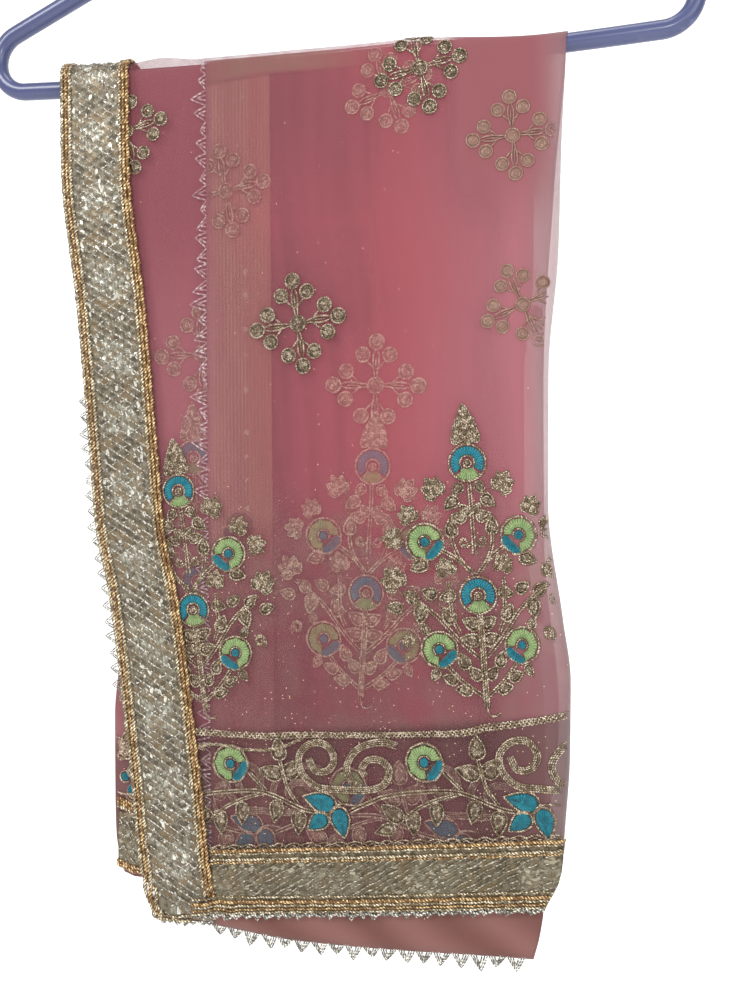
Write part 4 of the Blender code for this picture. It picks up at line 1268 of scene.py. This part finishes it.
outer = outerCloth()
inner = innerPly()
second = stackPly("secondFold", "second", hang["secondThickness"], 2, "second_fold")
third = stackPly("thirdFold", "third", hang["thirdThickness"], 2, "third_fold")
backStack = stackPly("foldedLayersBack", "backFolds", hang["backThickness"], 5, "folded_layers_back",
                     "hiddenNet")
print("cloth laid")


# lace, cords and picots

trim = {
    "cordWidth": 0.0070, "sideWidth": 0.0440, "endCord": 0.0045, "endWidth": 0.0280, "secondWidth": 0.0430,
    "innerWidth": 0.0390, "picotReach": 0.0060, "innerPicotReach": 0.0070,
    "latticePitch": 0.0052, "latticeSlope": 0.62, "threadWidth": 0.00070, "dashWidth": 0.00080,
    "rope": 0.0023, "ropePitch": 0.0030, "ropeStep": 0.00065, "ropeSides": 7, "endPitch": 0.0066,
    "endSlope": 1.96, "scallop": 0.0062, "scallopDrop": 0.0070, "scallopDeep": 0.0018, "corner": 0.0110,
    "gauze": 0.00030, "emboss": 0.00014,
}
outerLift = hang["ply"] + hang["seam"]
laceLift = outerLift + 0.0006
cordFinishes = ["doriPale", "dori"]


def sideDepths(step):
    # depths along the outer ply's left edge, from the back's bottom edge to the front's
    crown = float(quarterOf("front", np.array(-0.15)))
    back = float(dropLength("back", np.array([-0.11]), np.array([0.45]))[0])
    front = float(dropLength("front", np.array([-0.09]), np.array([0.46]))[0])
    return np.arange(-back - 2.0 * crown + 0.001, front - 0.0005, step)


def endLine(ply, xs, above):
    # depth of a line a set distance above the bottom edge; the front's lace keeps straight at the corner
    if ply == "front":
        return barHeight(xs) + 0.6694 - xs * 0.1015 - above
    return bottomAt(ply, xs) - above


def bottomAt(ply, xs):
    return dropLength(ply, xs, np.full_like(xs, 0.48))


def laceNet(name, ply, x, depth, uv, node, lift, finish, other=None):
    # the gauze: a thin shell embossed with the crossing threads
    place, normal = clothFrame(ply, x, depth)
    relief = 0.0
    for slope in (-trim["latticeSlope"], trim["latticeSlope"]):
        along = uv[..., 1] + uv[..., 0] * slope
        relief = relief + trim["emboss"] * np.sin(fullTurn * along / trim["latticePitch"])
    grid = place + normal * (lift + relief)[..., None]
    return gridPiece(name, grid[::-1], uv[::-1], node, trim["gauze"], finish, other)


def threadsOn(pile, ply, toCloth, across, down, lift, width, high):
    place, normal = clothFrame(ply, *toCloth(across, down))
    addTube(pile, place + normal * lift[..., None], normal, width, high, 4, 0.0020)


def lattice(pile, ply, toCloth, size, pitch, slope, seed, ways):
    # slanting threads across a band, none of them quite even
    width, length = size
    random = np.random.default_rng(seed)
    part = np.linspace(0.0, 1.0, 9)
    for direction, proud in ways:
        start = np.arange(-width * slope, length, pitch)
        start = start + random.uniform(-0.07, 0.07, len(start)) * pitch
        across = np.repeat((part * width)[None, :], len(start), 0)
        run = across if direction > 0 else width - across
        sway = 0.0003 * random.uniform(-1.0, 1.0, (len(start), 1)) * np.sin(part * 5.0)
        down = start[:, None] + run * slope + sway
        keep = (down.min(axis=1) > 0.0004) & (down.max(axis=1) < length - 0.0004)
        height = np.broadcast_to(laceLift + proud + 0.00010 * np.sin(part * 24.0), down[keep].shape)
        threadsOn(pile, ply, toCloth, across[keep], down[keep], height, trim["threadWidth"],
                  trim["threadWidth"] * 0.6)


def dashes(pile, ply, toCloth, size, lift, count, pitch, slope, seed, turned=0.4, reach=(0.0016, 0.0042)):
    # short bright floats of flat metal thread, each lying along one of the band's slanting threads
    width, length = size
    random = np.random.default_rng(seed)
    long = random.uniform(*reach, count) * math.cos(math.atan(slope))
    way = random.uniform(0.0, 1.0, count) < turned
    across = random.uniform(0.0014, width - 0.0014, count)[:, None] + long[:,
                                                                           None] * np.array([-0.5, 0.0, 0.5])
    run = np.where(way[:, None], width - across, across)
    start = np.round(random.uniform(0.0, length + width * slope, count) / pitch) * pitch - width * slope
    down = (start + random.normal(0.0, 0.00030, count))[:, None] + run * slope
    keep = (across > 0.0004) & (across < width - 0.0004) & (down > 0.0006) & (down < length - 0.0006)
    keep = keep.all(axis=1)
    proud = random.uniform(0.00040, 0.00070, count)[:, None] + np.array([-0.00014, 0.00008, -0.00014])
    threadsOn(pile, ply, toCloth, across[keep], down[keep], lift + proud[keep], trim["dashWidth"], 0.00034)


def flecks(pile, ply, toCloth, size, lift, count, seed):
    # tiny metal flakes tipped every way
    width, length = size
    random = np.random.default_rng(seed)
    x, depth = toCloth(random.uniform(0.001, width - 0.001, count),
                       random.uniform(0.001, length - 0.001, count))
    place, normal = clothFrame(ply, x, depth)
    tilt = unit(normal + random.normal(0.0, 0.42, (count, 3)))
    aim = unit(np.cross(tilt, random.normal(0.0, 1.0, (count, 3))))
    turns = np.arange(3) * fullTurn / 3.0
    flat = aim[:, None] * np.cos(turns)[None, :, None]
    flat = flat + np.cross(tilt, aim)[:, None] * np.sin(turns)[None, :, None]
    radius = random.uniform(0.0003, 0.0006, count)[:, None, None]
    low = place[:, None] + normal[:, None] * (lift + 0.0003) + flat * radius
    high = low + tilt[:, None] * 0.00012 - flat * radius * 0.4
    pile.add(np.stack([low, high], axis=1), np.arange(3) * 0.0004, np.arange(4) * 0.0008)


def ropes(pile, ply, x, depth, lines, lift, width=trim["rope"]):
    # two-ply cords beside a line, each (across, slot): the section is an oval that turns as it runs
    for across, slot in lines:
        place, normal = clothFrame(ply, x + across, depth)
        line = (place + normal * (np.broadcast_to(lift, x.shape)[:, None] + width * 0.42))[None]
        twist = fullTurn / trim["ropePitch"] * (-1.0 if slot else 1.0)
        addTube(pile, line, normal[None], width, width * 0.9, trim["ropeSides"], width * 3.0, False, slot,
                twist)


def picots(pile, ply, toCloth, starts, pitch, reach, lift, width, nested, uneven, seed=3):
    # nested threads from the edge out to one point and back
    random = np.random.default_rng(seed)
    part = np.linspace(-1.0, 1.0, 9)
    away = 1.0 - np.abs(part) ** 1.15
    jitter = 1.0 + uneven * random.uniform(-1.0, 1.0, (len(starts), 1))
    lean = uneven * random.uniform(-0.5, 0.5, (len(starts), 1))
    for share in nested:
        along = starts[:, None] + (part[None, :] * 0.47 + away[None, :] * lean) * pitch * share
        x, depth = toCloth(along, away[None, :] * reach * (0.35 + 0.65 * share) * jitter)
        place, normal = clothFrame(ply, x, depth)
        addTube(pile, place + normal * lift, normal, width, width * 0.8, 5, 0.002)


def sideTrim():
    depths = sideDepths(0.0028)
    left = leftAt("front", depths)
    first, last = trim["cordWidth"] * 0.80, trim["sideWidth"] - trim["cordWidth"] * 0.80
    x = left[:, None] + np.linspace(first, last, 22)[None, :]
    depth = np.repeat(depths[:, None], 22, axis=1)
    made = [laceNet("sideLace", "front", x, depth, np.stack([x - x[:, :1], depth + 0.6], axis=-1),
                    ["front_side_lace", "back_side_lace"], laceLift, "gota")]
    top = depths[0]
    size = trim["sideWidth"] - 2.0 * trim["cordWidth"] + 0.001, depths[-1] - top

    def toCloth(across, down):
        return leftAt("front", top + down) + trim["cordWidth"] - 0.0005 + across, top + down

    pile = Pile()
    lattice(pile, "front", toCloth, size, trim["latticePitch"], trim["latticeSlope"], 4,
            ((1.0, 0.00030), (-1.0, -0.00006)))
    dashes(pile, "front", toCloth, size, laceLift, 2300, trim["latticePitch"], trim["latticeSlope"], 5, 0.22,
           (0.0020, 0.0052))
    flecks(pile, "front", toCloth, size, laceLift, 2300, 7)
    made.append(finishPile(pile, "sideLaceThreads", ["gotaThread"], []))
    fine = sideDepths(trim["ropeStep"])
    left = leftAt("front", fine)
    last = trim["sideWidth"]
    stop = float(endLine("front", left[-1:] + last, 0.0010)[0])
    for label, lines, until in (("Outer", ((0.0012, 0), (0.0037, 1), (0.0060, 0)), 1.0),
                                ("Inner", ((last - 0.0060, 0), (last - 0.0036, 1), (last - 0.0012, 1)),
                                 stop)):
        pile = Pile()
        ropes(pile, "front", left[fine < until], fine[fine < until], lines, outerLift)
        nodes = ["front_side_cord_" + label.lower(), "back_side_cord_" + label.lower()]
        made.append(finishPile(pile, "sideCord" + label, cordFinishes, nodes))
    return made


def sidePicots(name, ply, nodes, pitch, spans, reach, lift, width, uneven, finish="picotSilver",
               nested=(1.0, 0.6)):
    # picots down an upright edge; spans are (first depth, last depth, share of the reach that shows)
    pile = Pile()
    for first, last, share in spans:

        def toCloth(along, away, share=share):
            return leftAt(ply, along) - away * share + 0.0004, along

        picots(pile, ply, toCloth, np.arange(first, last, pitch), pitch, reach, lift, width, nested, uneven)
    return finishPile(pile, name, [finish], nodes)


# The end's cords: height above the bottom edge, tone and width of each, the upper ones and the lower ones.
endCords = {
    "Upper": ((0.0290, 1, 0.0019), (0.0272, 0, 0.0013), (0.0238, 0, 0.0016), (0.0222, 1, 0.0012)),
    "Lower": ((0.0022, 0, 0.0012), (-0.0004, 1, 0.0020), (-0.0024, 0, 0.0014), (-0.0044, 1, 0.0012),
              (-0.0062, 0, 0.0012)),
}


def endTrim():
    first = float(leftAt("front", np.array([0.46]))[0]) + trim["sideWidth"] - 0.0005
    cornerStart = first - trim["corner"]
    scallop = trim["scallop"]

    def lastAt(above):
        # where a line this far above the bottom edge meets the cloth's right edge
        return float(rightAt("front", endLine("front", np.array([0.134]), above))[0]) - 0.0006

    def scallops(x, size):
        return trim["scallopDeep"] * np.abs(np.sin(x * math.pi / size))

    columns = np.linspace(0.0, 1.0, 96)
    rows = np.linspace(0.0, 1.0, 22)[:, None]
    top = trim["endWidth"] - 0.0006
    deep = -trim["scallopDrop"] - scallops(first + columns * (lastAt(0.01) - first), scallop)
    above = top + (deep[None, :] - top) * rows
    last = rightAt("front", endLine("front", np.full_like(above, 0.134), above)) - 0.0006
    x = first + columns[None, :] * (last - first)
    made = [laceNet("endLace", "front", x, endLine("front", x, above),
                    np.stack([above + 0.008, x - first], axis=-1),
                    ["front_end_lace"], laceLift - 0.0003, "gotaEnd")]
    size = trim["endWidth"] - 1.2 * trim["endCord"], lastAt(0.012) - first

    def toCloth(across, down):
        at = first + down
        return at, endLine("front", at, 0.0016 + across)

    pile = Pile()
    lattice(pile, "front", toCloth, size, trim["endPitch"], trim["endSlope"], 9, ((1.0, 0.0002),))
    dashes(pile, "front", toCloth, size, laceLift, 560, trim["endPitch"], trim["endSlope"], 11, 0.0,
           (0.0024, 0.0050))
    flecks(pile, "front", toCloth, size, laceLift, 900, 12)
    made.append(finishPile(pile, "endLaceThreads", ["gotaEndThread"], []))
    for label, lines in endCords.items():
        pile = Pile()
        for above, slot, wide in lines:
            fine = np.arange(cornerStart if label == "Lower" else first, lastAt(above), trim["ropeStep"])
            lift = outerLift + 0.0026 * smooth((first + 0.0015 - fine) / 0.0035) + 0.0003
            ropes(pile, "front", fine, endLine("front", fine, above), [(0.0, slot)], lift, wide)
        if label == "Lower":
            # two more go round the rounded corner, under the side lace's foot
            corner = float(leftAt("front", np.array([0.485]))[0]) + 0.0015
            corner = np.arange(corner, cornerStart, trim["ropeStep"])
            for above, wide in ((0.0008, 0.0018), (0.0028, 0.0014)):
                ropes(pile, "front", corner, bottomAt("front", corner) - above, [(0.0, 0)],
                      outerLift + 0.0008, wide)
        made.append(finishPile(pile, "endCord" + label, cordFinishes, ["front_end_cord_" + label.lower()]))

    def below(along, away):
        return along, endLine("front", along, -away - trim["scallopDrop"] + 0.0006)

    def underCorner(along, away):
        return along, bottomAt("front", along) + away * 0.6

    pile = Pile()
    fine = np.arange(cornerStart, lastAt(-0.007), trim["ropeStep"])
    low = endLine("front", fine, 0.0004 - trim["scallopDrop"]) + scallops(fine, scallop)
    ropes(pile, "front", fine, low, [(0.0, 0)], laceLift, 0.0014)
    picots(pile, "front", below, np.arange(first + 0.003, lastAt(-0.007) - 0.004, scallop), scallop * 0.9,
           0.0036, laceLift, 0.0008, (1.0, 0.5), 0.35, 6)
    picots(pile, "front", underCorner, np.arange(first - 0.034, first + 0.001, 0.0047), 0.0056, 0.0034,
           0.0008, 0.0011, (1.0, 0.6), 0.6, 8)
    made.append(finishPile(pile, "endPicots", ["picotSilver"], ["front_end_picot"]))
    return made


def endNet(name, ply, node, xs, rows, lift, finish, other=None):
    # lace across the foot of a ply, from rows that run a set distance above its edge
    x = np.repeat(xs[None, :], len(rows), 0)
    depth = np.stack([endLine(ply, xs, row) for row in rows])
    uv = np.stack([np.repeat(rows[:, None], len(xs), 1), x - xs[0]], axis=-1)
    return laceNet(name, ply, x, depth, uv, [node], lift, finish, other)


def innerTrim():
    depths = np.arange(-0.011, 0.490, 0.003)
    x = leftAt("inner", depths)[:, None] + np.linspace(0.0, trim["innerWidth"], 16)[None, :]
    depth = np.repeat(depths[:, None], 16, axis=1)
    made = [laceNet("innerSideLace", "inner", x, depth, np.stack([x - x[:, :1], depth], axis=-1),
                    ["inner_side_lace"], -0.00060, "gota", "reverseLace"),
            endNet("innerEndLace", "inner", "inner_end_lace", np.arange(-0.0245, 0.1195, 0.003),
                   np.linspace(trim["endWidth"], 0.0006, 10), -0.00060, "gotaEnd", "reverseLace")]

    def below(along, away):
        return along, endLine("inner", along, -away + 0.0006)

    pile = Pile()
    picots(pile, "inner", below, np.arange(-0.0590, 0.1190, 0.0100), 0.0100, trim["innerPicotReach"],
           hang["ply"] / 2.0, 0.0010, (1.0, 0.70, 0.36), 0.30)
    made.append(finishPile(pile, "innerEndPicots", ["picotSilver"], ["inner_end_picot"]))
    return made


def secondTrim():
    lift = hang["secondThickness"] + 0.0006
    first = -0.1225
    made = [endNet("secondEndLace", "second", "second_end_lace", np.arange(first, -0.0700, 0.0020),
                   np.linspace(trim["secondWidth"] - 0.008, 0.0020, 14), lift, "gotaEnd")]

    def toCloth(across, down):
        at = first + down
        return at, endLine("second", at, 0.002 + across)

    pile = Pile()
    dashes(pile, "second", toCloth, (0.032, 0.050), lift, 420, trim["latticePitch"], 0.9, 15)
    flecks(pile, "second", toCloth, (0.032, 0.050), lift, 260, 16)
    made.append(finishPile(pile, "secondLaceThreads", ["gotaThread"], []))
    pile = Pile()
    fine = np.arange(-0.1232, -0.0800, trim["ropeStep"])
    for above, slot in ((0.0420, 1), (0.0396, 1), (0.0374, 0), (0.0052, 1), (0.0030, 1)):
        ropes(pile, "second", fine, endLine("second", fine, above), [(0.0, slot)], hang["secondThickness"],
              0.0022)
    made.append(finishPile(pile, "secondEndCords", cordFinishes, []))
    return made


sidePieces = sideTrim()
endPieces = endTrim()
innerPieces = innerTrim()
secondPieces = secondTrim()
frontPicots = sidePicots("sidePicots", "front", ["front_side_picot", "back_side_picot"], 0.0092,
                         [(-0.46, 0.19, 0.25), (0.19, 0.36, 1.0), (0.36, 0.47, 0.25)], trim["picotReach"],
                         hang["ply"] * 0.5, 0.0008, 0.2)
innerEdge = sidePicots("innerSidePicots", "inner", ["inner_side_picot"], 0.0091, [(-0.004, 0.486, 1.0)],
                       0.0064, hang["ply"] * 0.6, 0.0011, 0.65, "picotWhite", (1.0, 0.35))
print("lace and cords laid")


# stitching on each ply

smallMotif = buti()
treeMotif = buta()
turnedTree = buta(0.90)
corner = Design().add(bunch(), -1.0, 6.0, 20.0).add(hook(), 1.5, -8.0).add(leaf(), 0.0, -20.0, 60.0, 1.1)
bandMotif = bandUnit()
lifts = {"front": hang["ply"] / 2.0 + 0.00015, "veiled": hang["ply"] / 2.0 + 0.0001,
         "second": hang["secondThickness"] + 0.00015}
underLace = 0.033


def bandRow(x0, z0, slope, first, last):
    # border units end to end, climbing to the right
    angle = math.radians(slope)
    return [(bandMotif, x0 + step * bandRepeat * math.cos(angle), z0 + step * bandRepeat * math.sin(angle),
             slope, 1.0)
            for step in range(first, last)]


frontStitching = stitch("frontStitching", "front", [
    (smallMotif, -0.0106, -0.3455, 7.5, 1.0), (smallMotif, 0.0590, -0.2080, 14.0, 0.92),
    (smallMotif, -0.1150, -0.2290, 14.0, 0.92),
    (turnedTree, 0.0964, -0.5600, 4.7, 1.0), (treeMotif, -0.0655, -0.5690, 7.4, 0.96),
    (railDesign(), 0.0, 0.0, 0.0, 1.0), *bandRow(0.0615, -0.5885, 3.6, -2, 1)], lifts["front"],
    (underLace, 0.0010))

# two motifs of the plies beneath, just under the net's face
stitch("veiledStitching", "front", [
    (smallMotif, 0.1092, -0.2478, 5.0, 0.88), (smallMotif, 0.1150, -0.3405, 24.0, 0.84)], lifts["veiled"],
    (underLace, 0.0030), 4, ("veiledZari", "veiledFill"))

innerStitching = stitch("innerStitching", "inner", [
    (smallMotif, -0.0541, -0.2674, 10.0, 0.95), (smallMotif, 0.0412, -0.2185, 20.0, 0.90),
    (smallMotif, 0.0338, -0.3812, -2.0, 1.0), (treeMotif, 0.0250, -0.5590, -3.1, 0.98),
    *bandRow(0.0180, -0.6050, 2.5, -1, 1)], lifts["front"], (0.001, 0.002), 4, stitching["soft"])

secondStitching = stitch("secondStitching", "second", [
    (smallMotif, 0.0700, -0.3357, 3.0, 1.0), (smallMotif, -0.0700, -0.3600, 3.0, 1.0),
    (treeMotif, 0.0560, -0.5560, 1.0, 1.0), (treeMotif, -0.0700, -0.5560, 2.0, 1.0),
    (corner, -0.1160, -0.5640, 0.0, 1.0), (corner, -0.1170, -0.5980, 10.0, 1.0),
    *bandRow(-0.1180, -0.6080, 1.0, 0, 2)], lifts["second"], (0.0015, 0.004), 4, stitching["soft"])

backPlaces = [
    (-0.0530, -0.2450, -5.0), (0.0470, -0.2560, -3.0), (-0.0060, -0.3300, -5.0), (0.0950, -0.3400, -2.0),
    (-0.0480, -0.4150, -6.0), (0.0520, -0.4240, -4.0), (-0.0010, -0.5000, -5.0), (0.0960, -0.5080, -2.0),
    (-0.0360, -0.5860, -6.0), (0.0560, -0.5900, -3.0),
]
backStitching = stitch("backStitching", "back", [(smallMotif, *row, 1.0) for row in backPlaces],
                       lifts["front"], (underLace, 0.002), 4)
print("stitching laid")


# hanger

hanger = {
    "slope": math.radians(24.0), "peakRadius": 0.012, "hookTube": 0.0042, "hookInner": 0.019,
    "neckRadius": 0.010, "hookEnd": math.radians(195.0), "sides": 28,
}


def arcPoints(centre, radius, start, end, count):
    angles = np.linspace(start, end, count)
    return np.stack([centre[0] + radius * np.cos(angles), centre[1] + radius * np.sin(angles)], axis=1)


def hangerTube(name, path, radii, closed, node):
    # a round section carried along a path in the upright plane
    pile = Pile()
    line = np.stack([path[:, 0], np.zeros(len(path)), path[:, 1]], axis=1)[None]
    toward = np.broadcast_to(np.array([0.0, -1.0, 0.0]), line.shape)
    rings = sweep(line, toward, 2.0, 2.0, hanger["sides"], closed)
    rings = line[:, :, None, :] + unit(rings - line[:, :, None, :]) * radii[None, :, None, None]
    pile.add(rings, runOf(line, closed), np.linspace(0.0, 0.03, hanger["sides"] + 1), closed)
    return finishPile(pile, name, ["plastic"], [node])


def tubePath():
    # the loop of the bar and the shoulders
    endX = hang["halfWidth"] - hang["endRadius"]
    endZ = -hang["barDrop"] + hang["endRadius"]
    slope = hanger["slope"]
    lean = math.atan(2.0 * hang["barSag"] / endX)
    shoulder = math.pi / 2.0 - slope
    peakZ = endZ + (hang["endRadius"] - hanger["peakRadius"]) / math.cos(slope) + endX * math.tan(slope)
    right = arcPoints((endX, endZ), hang["endRadius"], lean - math.pi / 2.0, shoulder, 30)
    peak = arcPoints((0.0, peakZ), hanger["peakRadius"], shoulder, math.pi - shoulder, 14)
    left = right[::-1] * [-1.0, 1.0]
    up = right[-1] + (peak[0] - right[-1]) * np.linspace(0.0, 1.0, 14)[1:-1, None]
    down = up[::-1] * [-1.0, 1.0]
    barX = np.linspace(left[-1, 0], right[0, 0], 40)[1:-1]
    return np.concatenate([right, up, peak, down, left, np.stack([barX, barHeight(barX)], axis=1)]), peakZ


def hookPath(peakZ):
    # up out of the peak, a bend of the neck, then round the hook to a rounded tip
    radius = hanger["hookInner"] + hanger["hookTube"]
    neckReach = radius + hanger["neckRadius"]
    neckZ = -hanger["hookInner"] - math.sqrt(neckReach**2 - hanger["neckRadius"] ** 2)
    meet = math.acos(hanger["neckRadius"] / neckReach)
    foot = np.array([[0.0, peakZ + hanger["peakRadius"] + hang["barRadius"] + hang["seam"]]])
    neck = arcPoints((hanger["neckRadius"], neckZ), hanger["neckRadius"], math.pi, math.pi - meet, 14)
    hook = arcPoints((0.0, -hanger["hookInner"]), radius, -meet, hanger["hookEnd"], 60)
    ahead = np.array([-math.sin(hanger["hookEnd"]), math.cos(hanger["hookEnd"])])
    steps = np.sin(np.radians(np.arange(10.0, 89.0, 11.0))) * hanger["hookTube"]
    path = np.concatenate([foot, neck, hook[1:], hook[-1] + ahead * steps[:, None]])
    radii = np.full(len(path), hanger["hookTube"])
    radii[-len(steps):] = np.sqrt(hanger["hookTube"] ** 2 - steps**2)
    return path, radii


framePath, peakZ = tubePath()
tubePiece = hangerTube("hangerTube", framePath, np.full(len(framePath), hang["barRadius"]), True,
                       "hanger_frame")
hangerTube("hangerHook", *hookPath(peakZ), False, "hanger_hook")
print("hanger made")


# light and stage

lights = [
    {"name": "keyLight", "at": (-0.9, -1.5, 0.75), "aim": (0.0, 0.0, -0.42), "size": 0.8, "power": 24.0},
    {"name": "fillLight", "at": (1.3, -1.3, 0.10), "aim": (0.0, 0.0, -0.45), "size": 1.2, "power": 10.0},
    {"name": "topLight", "at": (0.1, -0.3, 1.30), "aim": (0.0, 0.0, -0.30), "size": 0.8, "power": 8.0},
    {"name": "glintLight", "at": (0.35, -1.2, -0.15), "aim": (0.0, 0.0, -0.45), "size": 0.10, "power": 3.0},
]
stage = {"floor": -1.05, "back": 1.5, "front": -3.2, "bend": 0.7, "top": 2.6, "half": 4.0, "sky": 0.50}


def makeLights():
    for row in lights:
        data = bpy.data.lights.new(row["name"], "AREA")
        data.shape = "DISK"
        data.size = row["size"]
        data.energy = row["power"]
        light = bpy.data.objects.new(row["name"], data)
        away = np.array(row["at"]) - np.array(row["aim"])
        light.location = row["at"]
        light.rotation_euler = (math.atan2(math.hypot(away[0], away[1]), away[2]), 0.0,
                                math.atan2(away[0], -away[1]))
        bpy.context.scene.collection.objects.link(light)
    world = bpy.data.worlds.new("studio")
    world.use_nodes = True
    sky = world.node_tree.nodes["Background"].inputs
    sky["Color"].default_value = (1.0, 1.0, 1.0, 1.0)
    sky["Strength"].default_value = stage["sky"]
    bpy.context.scene.world = world


def makeStage():
    # a paper sweep: flat floor, quarter-round bend, upright back
    turns = np.radians(np.linspace(0.0, 90.0, 18))
    bendY = stage["back"] - stage["bend"] + stage["bend"] * np.sin(turns)
    bendZ = stage["floor"] + stage["bend"] * (1.0 - np.cos(turns))
    y = np.concatenate([[stage["front"]], bendY, [stage["back"]]])
    z = np.concatenate([[stage["floor"]], bendZ, [stage["top"]]])
    x = np.broadcast_to(np.array([-stage["half"], stage["half"]]), (len(y), 2))
    grid = np.stack([x, np.repeat(y[:, None], 2, 1), np.repeat(z[:, None], 2, 1)], axis=-1)
    index = np.arange(len(y) * 2).reshape(-1, 2)
    faces = np.stack([index[:-1, 0], index[:-1, 1], index[1:, 1], index[1:, 0]], axis=-1)
    mesh = bpy.data.meshes.new("paperSweep")
    mesh.from_pydata(grid.reshape(-1, 3).tolist(), [], faces.tolist())
    mesh.materials.append(stageFinish())
    mesh.shade_smooth()
    paper = bpy.data.objects.new("paperSweep", mesh)
    bpy.context.scene.collection.objects.link(paper)


makeCamera()
makeLights()
makeStage()
bpy.context.scene.view_settings.view_transform = "Standard"

triangles = {}
for piece in bpy.context.scene.objects:
    if piece.type == "MESH" and piece.name not in frame["nodes"]:
        piece.data.calc_loop_triangles()
        triangles[piece.name] = len(piece.data.loop_triangles) * (2 if piece.modifiers else 1)
print("triangles:", sum(triangles.values()), sorted(triangles.items(), key=lambda item: -item[1])[:8])
